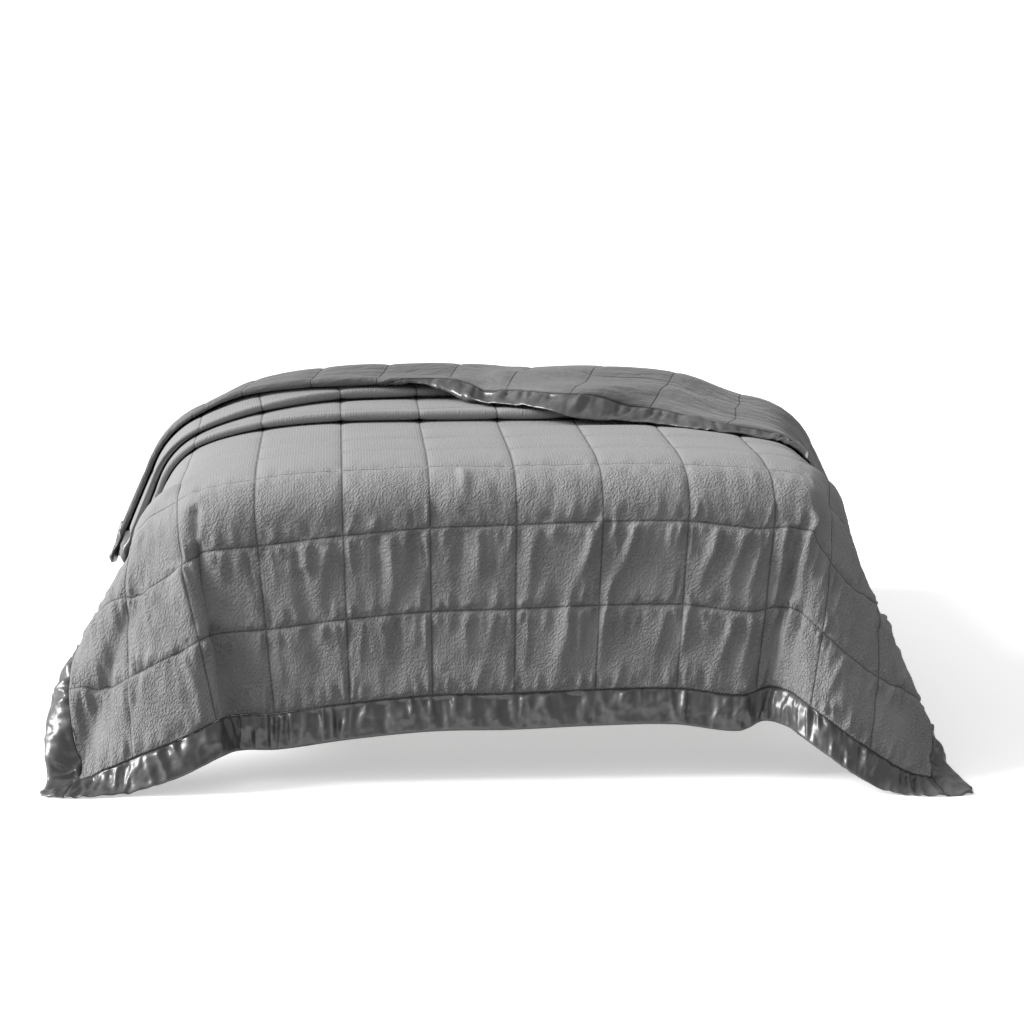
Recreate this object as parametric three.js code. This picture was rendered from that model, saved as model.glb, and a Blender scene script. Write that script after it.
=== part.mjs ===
// Down alternative blanket, box quilted and satin bound, draped over the foot of a full size bed.
// The blanket covers the foot half of the bed. Its foot corners flare out to the floor, and its head end
// lies in two pleats with the last of it turned back, reverse side up, in a slanting flap.
import * as THREE from "three";

// Blanket, flat, in millimetres
const BLANKET_WIDTH = 2286;
const BLANKET_LENGTH = 2286;
const BINDING_WIDTH = 76.2;
const CELL = 177.8;
const CELLS_ACROSS = 12;
const SEAM_HALF_THICKNESS = 1.5;
const CROWN_HALF_THICKNESS = 6.5;
const BINDING_HALF_THICKNESS = 2.6;
const SEAM_GAP = 1.6;
const JOINT_GAP = 0.3;

// Bed
const MATTRESS_WIDTH = 1372;
const MATTRESS_LENGTH = 1905;
const MATTRESS_DEPTH = 255;
const MATTRESS_SIDE_CROWN = 113.6;
const MATTRESS_END_CROWN = 60;
const SIDE_CROWN_POWER = 5;
const END_CROWN_POWER = 3;
const END_CROWN_LENGTH = 190;
const CORNER_RADIUS = 80;
const BASE_INSET = 12;
const BASE_DEPTH = 250;
const LEG_SIZE = 60;
const LEG_SIDE_INSET = 150;
const LEG_FOOT_INSET = 460;
const LEG_HEAD_INSET = 120;

// Levels, with zero at the blanket's top face in the middle of the bed
const FLOOR = -628;
const CLOTH_MIDDLE = -CROWN_HALF_THICKNESS;
const SEAT_GAP = 0.6;
const MATTRESS_TOP = -2 * CROWN_HALF_THICKNESS - SEAT_GAP;
const MATTRESS_FOOT = -30;
const FLOOR_CLOTH = FLOOR + BINDING_HALF_THICKNESS;

// The top of the bed, which dips towards its sides, and past which the cloth rolls over the edge and hangs.
// A roll starts with a slight crown and then turns down at its radius. At the corners it heads askew.
// half is how far out the level top reaches and dip how far it has sunk there.
const TOP_FOOT = 160;
const DIP_POWER = 5;
const FOOT_ROLL = { radius: 95, crown: 0.17, crownLength: 180 };
const SIDES = {
  left: {
    half: 638,
    dip: 39,
    skew: -0.12,
    corner: { radius: 175, crown: 0.215, crownLength: 92 },
    side: { radius: 156, crown: 0.41, crownLength: 33 },
  },
  right: {
    half: 604,
    dip: 26,
    skew: -0.22,
    corner: { radius: 117, crown: 0.207, crownLength: 56 },
    side: { radius: 119, crown: 0.45, crownLength: 30 },
  },
};
const FLOOR_BEND = 30;

const HIP = BINDING_WIDTH + 3 * CELL;
const HALF_WIDTH = BLANKET_WIDTH / 2;
const FIELD_HALF = (CELLS_ACROSS * CELL) / 2;

// Where the outer hem hangs. hem is the distance round the cut edge from the middle of the foot hem, and
// x, y, z the place of the cloth's mid surface there. What would hang below the floor lies out flat on it.
const HEM = [
  { hem: -2803, x: -842, y: 1030, z: -384 },
  { hem: -2553, x: -845, y: 783, z: -374 },
  { hem: -2313, x: -832, y: 574, z: -384 },
  { hem: -2183, x: -815, y: 485, z: -390 },
  { hem: -2043, x: -831, y: 395, z: -388 },
  { hem: -1943, x: -814, y: 318, z: -392 },
  { hem: -1843, x: -781, y: 245, z: -398 },
  { hem: -1743, x: -793, y: 160, z: -402 },
  { hem: -1643, x: -845, y: 102, z: -408 },
  { hem: -1543, x: -905, y: 48, z: -425 },
  { hem: -1443, x: -944, y: -33, z: -456 },
  { hem: -1343, x: -963, y: -115, z: -514 },
  { hem: -1243, x: -959, y: -182, z: -593 },
  { hem: -1143, x: -929, y: -209, z: -697 },
  { hem: -1016, x: -860, y: -263, z: -666 },
  { hem: -889, x: -770, y: -282, z: -626 },
  { hem: -790, x: -673, y: -280, z: -589 },
  { hem: -711, x: -598, y: -252, z: -557 },
  { hem: -630, x: -562, y: -190, z: -562 },
  { hem: -533, x: -490, y: -200, z: -559 },
  { hem: -356, x: -343, y: -205, z: -539 },
  { hem: -178, x: -177, y: -205, z: -525 },
  { hem: 0, x: -13, y: -205, z: -524 },
  { hem: 178, x: 150, y: -206, z: -518 },
  { hem: 356, x: 314, y: -208, z: -517 },
  { hem: 498, x: 444, y: -216, z: -531 },
  { hem: 565, x: 498, y: -191, z: -517 },
  { hem: 640, x: 538, y: -240, z: -516 },
  { hem: 711, x: 570, y: -300, z: -531 },
  { hem: 800, x: 626, y: -339, z: -566 },
  { hem: 889, x: 682, y: -354, z: -602 },
  { hem: 1016, x: 777, y: -344, z: -661 },
  { hem: 1143, x: 867, y: -296, z: -695 },
  { hem: 1243, x: 885, y: -246, z: -633 },
  { hem: 1343, x: 855, y: -163, z: -590 },
  { hem: 1443, x: 826, y: -91, z: -522 },
  { hem: 1543, x: 796, y: -15, z: -460 },
  { hem: 1643, x: 765, y: 50, z: -422 },
  { hem: 1743, x: 745, y: 122, z: -406 },
  { hem: 1843, x: 758, y: 195, z: -399 },
  { hem: 1943, x: 778, y: 272, z: -388 },
  { hem: 2043, x: 775, y: 350, z: -393 },
  { hem: 2183, x: 762, y: 445, z: -396 },
  { hem: 2313, x: 778, y: 549, z: -396 },
  { hem: 2553, x: 795, y: 756, z: -394 },
  { hem: 2803, x: 795, y: 1010, z: -390 },
];

// The pleats and the turned back end, across the width. s is the place across the flat cloth. shift is how
// far the cloth is slewed towards the foot there. Places y are measured up the bed from the hip line:
// crease2 and crease1 are the front edges of the lower and the upper pleat and back2 how deep the lower one
// is tucked in, top the fold at the head, flap the cloth turned back beyond it, and shown how much of that
// lies face up before the rest is tucked under. loft is how full the fold at the head is, sag how far the
// stack sinks past the pleats beneath it, lean how far its upper layers are slewed sideways, layer how far
// apart the layers of the stack lie and rise how far they are puffed up beneath the fold at the head.
const FOLDS = [
  {
    s: -1143, shift: -1, crease2: 611, back2: 185, crease1: 693, top: 898,
    flap: 181, shown: 84, loft: 14, sag: 10, lean: -40, layer: 11, rise: 2,
  },
  {
    s: -711, shift: 2, crease2: 611, back2: 185, crease1: 703, top: 912,
    flap: 180, shown: 86, loft: 11, sag: 6, lean: -5, layer: 9, rise: 9,
  },
  {
    s: -533, shift: 16, crease2: 611, back2: 185, crease1: 741, top: 906,
    flap: 185, shown: 88, loft: 13, sag: 5, lean: -10, layer: 11, rise: 20,
  },
  {
    s: -356, shift: 11, crease2: 611, back2: 185, crease1: 803, top: 905,
    flap: 191, shown: 90, loft: 15, sag: 5, lean: -35, layer: 13, rise: 20,
  },
  {
    s: -178, shift: -1, crease2: 611, back2: 185, crease1: 827, top: 909,
    flap: 191, shown: 94, loft: 19, sag: -1, lean: -60, layer: 13, rise: 15,
  },
  {
    s: 0, shift: -9, crease2: 611, back2: 175, crease1: 845, top: 916,
    flap: 190, shown: 150, loft: 29, sag: 2, lean: -70, layer: 13, rise: 6,
  },
  {
    s: 178, shift: -14, crease2: 615, back2: 128, crease1: 850, top: 924,
    flap: 290, shown: 290, loft: 34, sag: 11, lean: -78, layer: 13, rise: 0,
  },
  {
    s: 356, shift: -14, crease2: 725, back2: 78, crease1: 848, top: 920,
    flap: 404, shown: 404, loft: 36, sag: 12, lean: -76, layer: 13, rise: 0,
  },
  {
    s: 533, shift: -4, crease2: 705, back2: 88, crease1: 822, top: 896,
    flap: 400, shown: 400, loft: 33, sag: 31, lean: -74, layer: 12, rise: 0,
  },
  {
    s: 711, shift: -4, crease2: 690, back2: 74, crease1: 793, top: 872,
    flap: 466, shown: 466, loft: 10, sag: 40, lean: -48, layer: 10, rise: 0,
  },
  {
    s: 1143, shift: 3, crease2: 680, back2: 85, crease1: 749, top: 828,
    flap: 480, shown: 480, loft: 20, sag: 36, lean: 5, layer: 11.5, rise: 0,
  },
];
const FLAP_SLANT = 0.36;
const EVEN_SHIFT = 711;
const SLOPE_ROUNDS = 5;
const FIRST_SLOPE = 1.2;
const LEAST_TURN = 0.1;
const STEEPEST = 1.7;
// Layers of the stack from the one on the bed up to the one under the turned back end
const TOP_LAYER = 4;
const PLEAT_SLACK = 4;
const SAG_LENGTH = 140;
const DROP_LENGTH = 90;
const DROP_LEAD = 112;
const LOFT_LENGTH = 150;
const TUCK_SINK = 0.5;
const TUCK_LENGTH = 50;
// In the stack the filling is pressed thinner, from a way before the first fold on
const STACK_GAP = 1.4;
const STACK_START = 130;
// Upper layers have further to go round the bed's edge, so they reach less far down its sides
const EDGE_TURN = 1.15;
const EDGE_START = 520;
const EDGE_LENGTH = 260;

const clamp = (v, lo, hi) => Math.min(hi, Math.max(lo, v));
const smooth = (v) => {
  const u = clamp(v, 0, 1);
  return u * u * (3 - 2 * u);
};
const mix = (a, b, u) => a + (b - a) * u;

// A smooth curve through the rows of a table, read at key = at.
function curveThrough(table, key, columns) {
  const knots = table.map((row) => row[key]);
  const last = table.length - 1;
  const slopes = table.map((row, i) => {
    const a = Math.max(0, i - 1);
    const b = Math.min(last, i + 1);
    return columns.map((c) => (table[b][c] - table[a][c]) / (knots[b] - knots[a]));
  });
  return (at) => {
    const v = clamp(at, knots[0], knots[last]);
    let i = 0;
    while (i < last - 1 && v > knots[i + 1]) i++;
    const span = knots[i + 1] - knots[i];
    const u = (v - knots[i]) / span;
    const u2 = u * u;
    const u3 = u2 * u;
    return columns.map(
      (c, n) =>
        (2 * u3 - 3 * u2 + 1) * table[i][c] +
        (u3 - 2 * u2 + u) * span * slopes[i][n] +
        (3 * u2 - 2 * u3) * table[i + 1][c] +
        (u3 - u2) * span * slopes[i + 1][n],
    );
  };
}
const hemAt = curveThrough(HEM, "hem", ["x", "y", "z"]);
const FOLD_COLUMNS = Object.keys(FOLDS[0]).slice(1);
const foldRow = curveThrough(FOLDS, "s", FOLD_COLUMNS);
function foldAt(s) {
  const values = foldRow(s);
  return Object.fromEntries(FOLD_COLUMNS.map((c, i) => [c, values[i]]));
}

const bedSide = (s) => (s < 0 ? SIDES.left : SIDES.right);

// How far the top has dipped at a place across.
function topDip(s) {
  const { half, dip } = bedSide(s);
  return dip * Math.pow(Math.min(1, Math.abs(s) / half), DIP_POWER);
}

// The roll over the edge: the path crowns, rolls round and then runs straight to the hem. Returns how far
// out and how far down the path is after a length, for a first and a final slope.
function rollPath(length, roll, first, slope) {
  const rollLength = roll.radius * Math.max(0, slope - roll.crown);
  const onCrown = clamp(length, 0, roll.crownLength);
  const crownTurn = ((roll.crown - first) * onCrown) / roll.crownLength;
  const crownSlope = first + crownTurn / 2;
  let out = onCrown * Math.cos(crownSlope);
  let down = onCrown * Math.sin(crownSlope);
  const onRoll = clamp(length - roll.crownLength, 0, rollLength);
  const turned = roll.crown + onRoll / roll.radius;
  out += roll.radius * (Math.sin(turned) - Math.sin(roll.crown));
  down += roll.radius * (Math.cos(roll.crown) - Math.cos(turned));
  return { out, down, straight: Math.max(0, length - roll.crownLength - rollLength) };
}
// The roll in a direction: turn is 0 straight over the foot, 1 straight over the side.
function rollAt(bed, turn) {
  const [a, b, u] = turn < 0.5 ? [FOOT_ROLL, bed.corner, 2 * turn] : [bed.corner, bed.side, 2 * turn - 1];
  const v = smooth(u);
  return {
    radius: mix(a.radius, b.radius, v),
    crown: mix(a.crown, b.crown, v),
    crownLength: mix(a.crownLength, b.crownLength, v),
  };
}

// The draped sheet without its folds: the place of the cloth point that lies at (s, y) when the sheet is
// spread level, with y measured up the bed from the hip line.
function sheetPoint(s, y) {
  const side = s < 0 ? -1 : 1;
  const bed = bedSide(s);
  const over = Math.max(0, Math.abs(s) - bed.half);
  const past = Math.max(0, TOP_FOOT - y);
  const anchor = [side * Math.min(Math.abs(s), bed.half), Math.max(y, TOP_FOOT)];
  const high = CLOTH_MIDDLE - topDip(s);
  const length = Math.hypot(over, past);
  if (length < 1e-9) return [s, y, high];
  const around = Math.atan2(over, past);
  const turn = (2 / Math.PI) * around;
  const heading = around + bed.skew * Math.sin(Math.PI * turn);
  const dx = side * Math.sin(heading);
  const dy = -Math.cos(heading);
  // The cut edge that this ray of cloth runs to
  const shift = foldAt(clamp(s, -EVEN_SHIFT, EVEN_SHIFT)).shift;
  const toFoot = TOP_FOOT + HIP + shift;
  const toSide = HALF_WIDTH - bed.half;
  const atFoot = past > 0 ? toFoot / past : Infinity;
  const atSide = over > 0 ? toSide / over : Infinity;
  const reach = Math.min(atFoot, atSide);
  const hemS = anchor[0] + side * over * reach;
  const hemT = anchor[1] - past * reach + HIP + shift;
  const target = hemAt(atFoot < atSide ? hemS : side * (HALF_WIDTH + hemT));
  const whole = length * reach;
  const roll = rollAt(bed, turn);
  const first = (((DIP_POWER * bed.dip) / bed.half) * over) / length;
  const along = (path) => [anchor[0] + dx * path.out, anchor[1] + dy * path.out, high - path.down];
  const rolledAt = (slope) => roll.crownLength + roll.radius * (slope - roll.crown);
  const runFrom = (slope) => {
    const end = along(rollPath(rolledAt(slope), roll, first, slope));
    return end.map((v, i) => target[i] - v);
  };
  // The straight part points from the end of the roll to the hem. A few rounds settle its slope.
  let slope = FIRST_SLOPE;
  for (let round = 0; round < SLOPE_ROUNDS; round++) {
    const run = runFrom(slope);
    slope = clamp(Math.atan2(-run[2], run[0] * dx + run[1] * dy), roll.crown + LEAST_TURN, STEEPEST);
  }
  // The cloth is taken up evenly all along this path.
  const run = runFrom(slope);
  const straight = Math.hypot(...run);
  const path = rollPath((length * (rolledAt(slope) + straight)) / whole, roll, first, slope);
  const hung = along(path).map((v, i) => v + (run[i] * path.straight) / straight);
  // What reaches the floor turns out and lies flat on it.
  const depth = FLOOR_CLOTH + FLOOR_BEND - hung[2];
  if (depth <= 0) return hung;
  const bent = Math.min(depth, 2 * FLOOR_BEND);
  const raised = (bent * bent) / (4 * FLOOR_BEND) + (depth - bent);
  return [hung[0] + dx * raised, hung[1] + dy * raised, hung[2] + raised];
}

// The length left over for the pleat nearer the head, forward and back.
function spareLength(row) {
  const turns = ((TOP_LAYER + 1) * Math.PI * row.layer + Math.PI * row.loft) / 2;
  const laid = HIP + row.shift + row.top + row.flap + 2 * row.back2;
  return BLANKET_LENGTH - laid - turns;
}

// How far up the bed, how high on the stack and how far slewed sideways the cloth lies at (s, t).
function foldPath(s, t) {
  const row = foldAt(s);
  const { layer, crease1, crease2 } = row;
  const radius = layer / 2;
  const back2 = crease2 + row.back2;
  const back1 = crease1 + spareLength(row) / 2;
  // Past the back of each pleat the layers above it sink by up to its two layers
  const room = 2 * layer - PLEAT_SLACK;
  const sink = (y, back, most) => -clamp(most, 0, room) * smooth((y - back + radius) / SAG_LENGTH);
  const risen = (y, r) => r.rise * smooth((y - r.crease1) / (r.top - r.crease1));
  const sag = (y, level) => {
    const first = sink(y, back2, row.sag);
    return level < TOP_LAYER ? first : first + sink(y, back1, row.sag - room) + risen(y, row);
  };
  // The folds in order: y runs from one place to the next, and turns over at its end
  const runs = [
    { from: -Infinity, to: back2, level: 0 },
    { from: back2, to: crease2, level: 1 },
    { from: crease2, to: back1, level: 2 },
    { from: back1, to: crease1, level: 3 },
    { from: crease1, to: row.top, level: TOP_LAYER },
  ];
  let left = t - HIP - row.shift;
  for (let i = 0; i < runs.length; i++) {
    const { from, to, level } = runs[i];
    const ahead = level % 2 === 0 ? 1 : -1;
    const long = i === 0 ? to : Math.abs(to - from);
    const lean = level < TOP_LAYER ? 0 : row.lean * smooth(left / long);
    if (left <= long) {
      const y = i === 0 ? left : from + ahead * left;
      return { y, height: level * layer + (level > 1 ? sag(y, level) : 0), lean };
    }
    left -= long;
    const bend = level === TOP_LAYER ? radius + row.loft / 2 : radius;
    if (left <= Math.PI * bend) {
      const a = left / bend;
      const lift = level > 0 ? sag(to, level) : 0;
      const y = to + ahead * bend * Math.sin(a);
      return { y, height: level * layer + bend * (1 - Math.cos(a)) + lift, lean };
    }
    left -= Math.PI * bend;
  }
  // The turned back end, which steps down off each pleat and has its last part tucked under
  const slant = Math.hypot(1, FLAP_SLANT);
  const shown = Math.min(left, row.shown);
  const rest = Math.max(0, left - shown);
  const a = Math.min(rest / radius, Math.PI);
  const back = Math.max(0, rest - Math.PI * radius);
  const y = row.top - shown / slant + back - radius * Math.sin(a);
  const lean = row.lean - (shown * FLAP_SLANT) / slant;
  const under = foldAt(s + lean);
  const dropAt = (crease) => smooth((y - crease + DROP_LEAD) / DROP_LENGTH);
  const steps = dropAt(under.crease2) + dropAt(under.crease1);
  const tucked = smooth((row.flap - row.shown) / (Math.PI * radius));
  const reach = row.shown / slant;
  const full = smooth((y - row.top + mix(row.shown, reach, tucked)) / mix(LOFT_LENGTH, reach, tucked));
  const extra = Math.max(row.loft * full, layer * tucked);
  const over = layer * (1 + 2 * steps) + extra + sag(y, TOP_LAYER);
  // What is tucked under lies midway, on the slope of the layers beneath it
  const below = foldAt(s + lean - row.lean);
  const stacked = (TOP_LAYER + 1) * (layer - below.layer) + (row.loft - below.loft) * full;
  const slope = stacked + risen(y, row) - risen(y, below);
  const sunk = (TUCK_SINK * Math.max(0, extra - layer) + slope) * smooth(back / TUCK_LENGTH);
  return { y, height: over - radius * (1 - Math.cos(a)) - sunk, lean };
}

// The blanket's mid surface, and the normals of the draped sheet and of the folded blanket.
const NORMAL_STEP = 4;
const FACE_STEP = 1.5;
function middle(s, t) {
  const fold = foldPath(s, t);
  const turned = EDGE_TURN * smooth((Math.abs(s) - EDGE_START) / EDGE_LENGTH);
  const across = s + fold.lean - Math.sign(s) * fold.height * turned;
  const on = sheetPoint(across, fold.y);
  if (Math.abs(fold.height) < 1e-9) return on;
  const normal = sheetNormal(across, fold.y);
  return on.map((v, i) => v + normal[i] * fold.height);
}
function sheetNormal(s, y) {
  const d = NORMAL_STEP;
  const a = sheetPoint(s - d, y);
  const b = sheetPoint(s + d, y);
  const c = sheetPoint(s, y - d);
  const e = sheetPoint(s, y + d);
  return unitCross(b.map((v, i) => v - a[i]), e.map((v, i) => v - c[i]));
}
function unitCross(u, v) {
  const n = [u[1] * v[2] - u[2] * v[1], u[2] * v[0] - u[0] * v[2], u[0] * v[1] - u[1] * v[0]];
  const size = Math.hypot(...n);
  return n.map((w) => w / size);
}
function faceNormal(s, t) {
  const d = FACE_STEP;
  const a = middle(s - d, t);
  const b = middle(s + d, t);
  const c = middle(s, t - d);
  const e = middle(s, t + d);
  return unitCross(b.map((v, i) => v - a[i]), e.map((v, i) => v - c[i]));
}

// Half the thickness of the filled field: thin on the stitched lines, crowned between them.
const CROWN_POWER = 0.55;
function fieldHalf(s, t) {
  const row = foldAt(s);
  const folded = smooth((t - HIP - row.shift - row.crease2 + STACK_START) / STACK_START);
  const crown = mix(CROWN_HALF_THICKNESS, row.layer / 2 - STACK_GAP, folded);
  const u = Math.abs(Math.sin((Math.PI * (s + FIELD_HALF)) / CELL));
  const v = Math.abs(Math.sin((Math.PI * (t - BINDING_WIDTH)) / CELL));
  return mix(SEAM_HALF_THICKNESS, crown, Math.pow(u * v, CROWN_POWER));
}
const bindingHalf = (edge) => mix(SEAM_HALF_THICKNESS, BINDING_HALF_THICKNESS, smooth(2 * edge));

// One closed solid over a grid of flat cloth places: columns[i] across, rowAt(s, j) along.
function slab(name, look, columns, rowCount, rowAt, half) {
  const positions = [];
  const wide = columns.length;
  for (const face of [1, -1])
    for (let j = 0; j < rowCount; j++)
      for (const s of columns) {
        const t = rowAt(s, j);
        const p = middle(s, t);
        const n = faceNormal(s, t);
        const h = half(s, t) * face;
        positions.push(p[0] + n[0] * h, p[1] + n[1] * h, Math.max(FLOOR, p[2] + n[2] * h));
      }
  const under = wide * rowCount;
  const faces = [];
  const quad = (a, b, c, d) => faces.push(a, b, c, a, c, d);
  for (let j = 0; j < rowCount - 1; j++)
    for (let i = 0; i < wide - 1; i++) {
      const a = j * wide + i;
      quad(a, a + 1, a + wide + 1, a + wide);
      quad(under + a, under + a + wide, under + a + wide + 1, under + a + 1);
    }
  for (let i = 0; i < wide - 1; i++) {
    const a = i;
    const b = (rowCount - 1) * wide + i;
    quad(a, under + a, under + a + 1, a + 1);
    quad(b, b + 1, under + b + 1, under + b);
  }
  for (let j = 0; j < rowCount - 1; j++) {
    const a = j * wide;
    const b = j * wide + wide - 1;
    quad(a, a + wide, under + a + wide, under + a);
    quad(b, under + b, under + b + wide, b + wide);
  }
  return solid(name, look, positions, faces);
}
function named(name, look, geometry) {
  const { colour: color, roughness } = look;
  const mesh = new THREE.Mesh(geometry, new THREE.MeshStandardMaterial({ color, roughness, metalness: 0 }));
  mesh.name = name;
  return mesh;
}
function solid(name, look, positions, faces) {
  const geometry = new THREE.BufferGeometry();
  geometry.setAttribute("position", new THREE.Float32BufferAttribute(positions, 3));
  geometry.setIndex(faces);
  geometry.computeVertexNormals();
  return named(name, look, geometry);
}

const range = (from, to, steps) => Array.from({ length: steps + 1 }, (_, i) => mix(from, to, i / steps));

// Rows of the field along the cloth. Each run between folds has its own number of steps, so that every
// turn is stepped alike at every place across the width.
const FRONT_STEPS = 12;
const TOP_CELLS = 3;
const TOP_STEPS = 9;
const UNDER_STEPS = 5;
const TURN_STEPS = 3;
const PLEAT_STEPS = { under: 3, over: 4, tuck: 1, top: 2 };
const FLAP_STEPS = 8;
function fieldRows(s) {
  const row = foldAt(s);
  const turn = (Math.PI * row.layer) / 2;
  const topTurn = turn + (Math.PI * row.loft) / 2;
  const seam = BINDING_WIDTH + SEAM_GAP / 2;
  const headSeam = BLANKET_LENGTH - BINDING_WIDTH - SEAM_GAP / 2;
  const spare = spareLength(row);
  const marks = [{ t: seam, steps: 0 }];
  const next = (length, steps) => marks.push({ t: marks[marks.length - 1].t + length, steps });
  marks.push({ t: HIP, steps: FRONT_STEPS });
  marks.push({ t: HIP + TOP_CELLS * CELL, steps: TOP_STEPS });
  marks.push({ t: HIP + row.shift + row.crease2 + row.back2, steps: UNDER_STEPS });
  next(turn, TURN_STEPS);
  next(row.back2, PLEAT_STEPS.under);
  next(turn, TURN_STEPS);
  next(row.crease1 + spare / 2 - row.crease2, PLEAT_STEPS.over);
  next(turn, TURN_STEPS);
  next(spare / 2, PLEAT_STEPS.tuck);
  next(turn, TURN_STEPS);
  next(row.top - row.crease1, PLEAT_STEPS.top);
  next(topTurn, TURN_STEPS);
  marks.push({ t: headSeam, steps: FLAP_STEPS });
  const rows = [seam];
  for (let i = 1; i < marks.length; i++) {
    const { t, steps } = marks[i];
    rows.push(...range(marks[i - 1].t, t, steps).slice(1));
  }
  return rows;
}
const rowsBySide = new Map();
function rowsFor(s) {
  if (!rowsBySide.has(s)) rowsBySide.set(s, fieldRows(s));
  return rowsBySide.get(s);
}
const FIELD_ROWS = rowsFor(0).length;

const CLOTH_LOOK = { colour: "#737477", roughness: 0.9 };
const SATIN_LOOK = { colour: "#4e4f52", roughness: 0.4 };
const MATTRESS_LOOK = { colour: "#e9e7e2", roughness: 0.9 };
const BASE_LOOK = { colour: "#d9d6cf", roughness: 0.9 };
const LEG_LOOK = { colour: "#8a6f52", roughness: 0.6 };
const BINDING_STEPS = { across: 2, head: 6 };
const FIELD_STEPS = 4 * CELLS_ACROSS;
const fieldColumns = range(-FIELD_HALF + SEAM_GAP / 2, FIELD_HALF - SEAM_GAP / 2, FIELD_STEPS);
const FOOT_ROWS = range(0, BINDING_WIDTH - SEAM_GAP / 2, BINDING_STEPS.across);
const HEAD_ROWS = range(BLANKET_LENGTH - BINDING_WIDTH + SEAM_GAP / 2, BLANKET_LENGTH, BINDING_STEPS.head);

function quiltedField() {
  return slab("quilted_field", CLOTH_LOOK, fieldColumns, FIELD_ROWS, (s, j) => rowsFor(s)[j], fieldHalf);
}
function endBinding(name, rows, edgeOf) {
  const half = (s, t) => bindingHalf(edgeOf(t));
  return slab(name, SATIN_LOOK, fieldColumns, rows.length, (s, j) => rows[j], half);
}
function sideBinding(name, side) {
  const inner = side * (FIELD_HALF + SEAM_GAP / 2);
  const columns = range(inner, side * HALF_WIDTH, BINDING_STEPS.across).sort((a, b) => a - b);
  const rowAt = (s, j) => {
    if (j < FOOT_ROWS.length) return FOOT_ROWS[j];
    if (j < FOOT_ROWS.length + FIELD_ROWS) return rowsFor(s)[j - FOOT_ROWS.length];
    return HEAD_ROWS[j - FOOT_ROWS.length - FIELD_ROWS];
  };
  const count = FOOT_ROWS.length + FIELD_ROWS + HEAD_ROWS.length;
  const half = (s) => bindingHalf((Math.abs(s) - FIELD_HALF) / BINDING_WIDTH);
  return slab(name, SATIN_LOOK, columns, count, rowAt, half);
}

// The mattress: soft, crowned towards its edges, round at its corners, flat beneath.
const MATTRESS_STEPS = 14;
function mattress() {
  const half = MATTRESS_WIDTH / 2;
  const head = MATTRESS_FOOT + MATTRESS_LENGTH;
  const bottom = MATTRESS_TOP - MATTRESS_DEPTH;
  const spread = range(-1, 1, MATTRESS_STEPS).map((u) => Math.sin((u * Math.PI) / 2));
  const xs = spread.map((u) => half * u);
  const ys = spread.map((u) => mix(MATTRESS_FOOT, head, (u + 1) / 2));
  const positions = [];
  for (const level of ["top", "bottom"])
    for (const y of ys) {
      const fromEnd = Math.min(y - MATTRESS_FOOT, head - y);
      const onCorner = Math.max(0, CORNER_RADIUS - fromEnd);
      const inset = CORNER_RADIUS - Math.sqrt(CORNER_RADIUS * CORNER_RADIUS - onCorner * onCorner);
      const end = Math.pow(clamp(1 - fromEnd / END_CROWN_LENGTH, 0, 1), END_CROWN_POWER);
      for (const x of xs) {
        const side = Math.pow(Math.abs(x) / half, SIDE_CROWN_POWER);
        const crown = MATTRESS_SIDE_CROWN * side + MATTRESS_END_CROWN * end * (1 - side);
        positions.push((x * (half - inset)) / half, y, level === "top" ? MATTRESS_TOP - crown : bottom);
      }
    }
  const wide = xs.length;
  const deep = ys.length;
  const under = wide * deep;
  const faces = [];
  const quad = (a, b, c, d) => faces.push(a, b, c, a, c, d);
  for (let j = 0; j < deep - 1; j++)
    for (let i = 0; i < wide - 1; i++) {
      const a = j * wide + i;
      quad(a, a + 1, a + wide + 1, a + wide);
      quad(under + a, under + a + wide, under + a + wide + 1, under + a + 1);
    }
  for (let i = 0; i < wide - 1; i++) {
    const b = (deep - 1) * wide + i;
    quad(i, under + i, under + i + 1, i + 1);
    quad(b, b + 1, under + b + 1, under + b);
  }
  for (let j = 0; j < deep - 1; j++) {
    const a = j * wide;
    const b = a + wide - 1;
    quad(a, a + wide, under + a + wide, under + a);
    quad(b, under + b, under + b + wide, b + wide);
  }
  return solid("mattress", MATTRESS_LOOK, positions, faces);
}

function box(name, look, size, centre) {
  const mesh = named(name, look, new THREE.BoxGeometry(...size));
  mesh.position.set(...centre);
  return mesh;
}
function bedBase() {
  const parts = [];
  const width = MATTRESS_WIDTH - 2 * BASE_INSET;
  const length = MATTRESS_LENGTH - 2 * BASE_INSET;
  const middleY = MATTRESS_FOOT + MATTRESS_LENGTH / 2;
  const top = MATTRESS_TOP - MATTRESS_DEPTH - JOINT_GAP;
  parts.push(box("bed_base", BASE_LOOK, [width, length, BASE_DEPTH], [0, middleY, top - BASE_DEPTH / 2]));
  const legTop = top - BASE_DEPTH - JOINT_GAP;
  const legHeight = legTop - FLOOR;
  const legRows = { foot: middleY - length / 2 + LEG_FOOT_INSET, head: middleY + length / 2 - LEG_HEAD_INSET };
  for (const [endName, y] of Object.entries(legRows))
    for (const [sideName, side] of Object.entries({ left: -1, right: 1 })) {
      const x = side * (width / 2 - LEG_SIDE_INSET);
      const size = [LEG_SIZE, LEG_SIZE, legHeight];
      parts.push(box(`leg_${endName}_${sideName}`, LEG_LOOK, size, [x, y, FLOOR + legHeight / 2]));
    }
  return parts;
}

const bed = new THREE.Group();
bed.add(
  quiltedField(),
  endBinding("binding_foot", FOOT_ROWS, (t) => 1 - t / BINDING_WIDTH),
  endBinding("binding_head", HEAD_ROWS, (t) => 1 - (BLANKET_LENGTH - t) / BINDING_WIDTH),
  sideBinding("binding_left", -1),
  sideBinding("binding_right", 1),
  mattress(),
  ...bedBase(),
);

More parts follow.
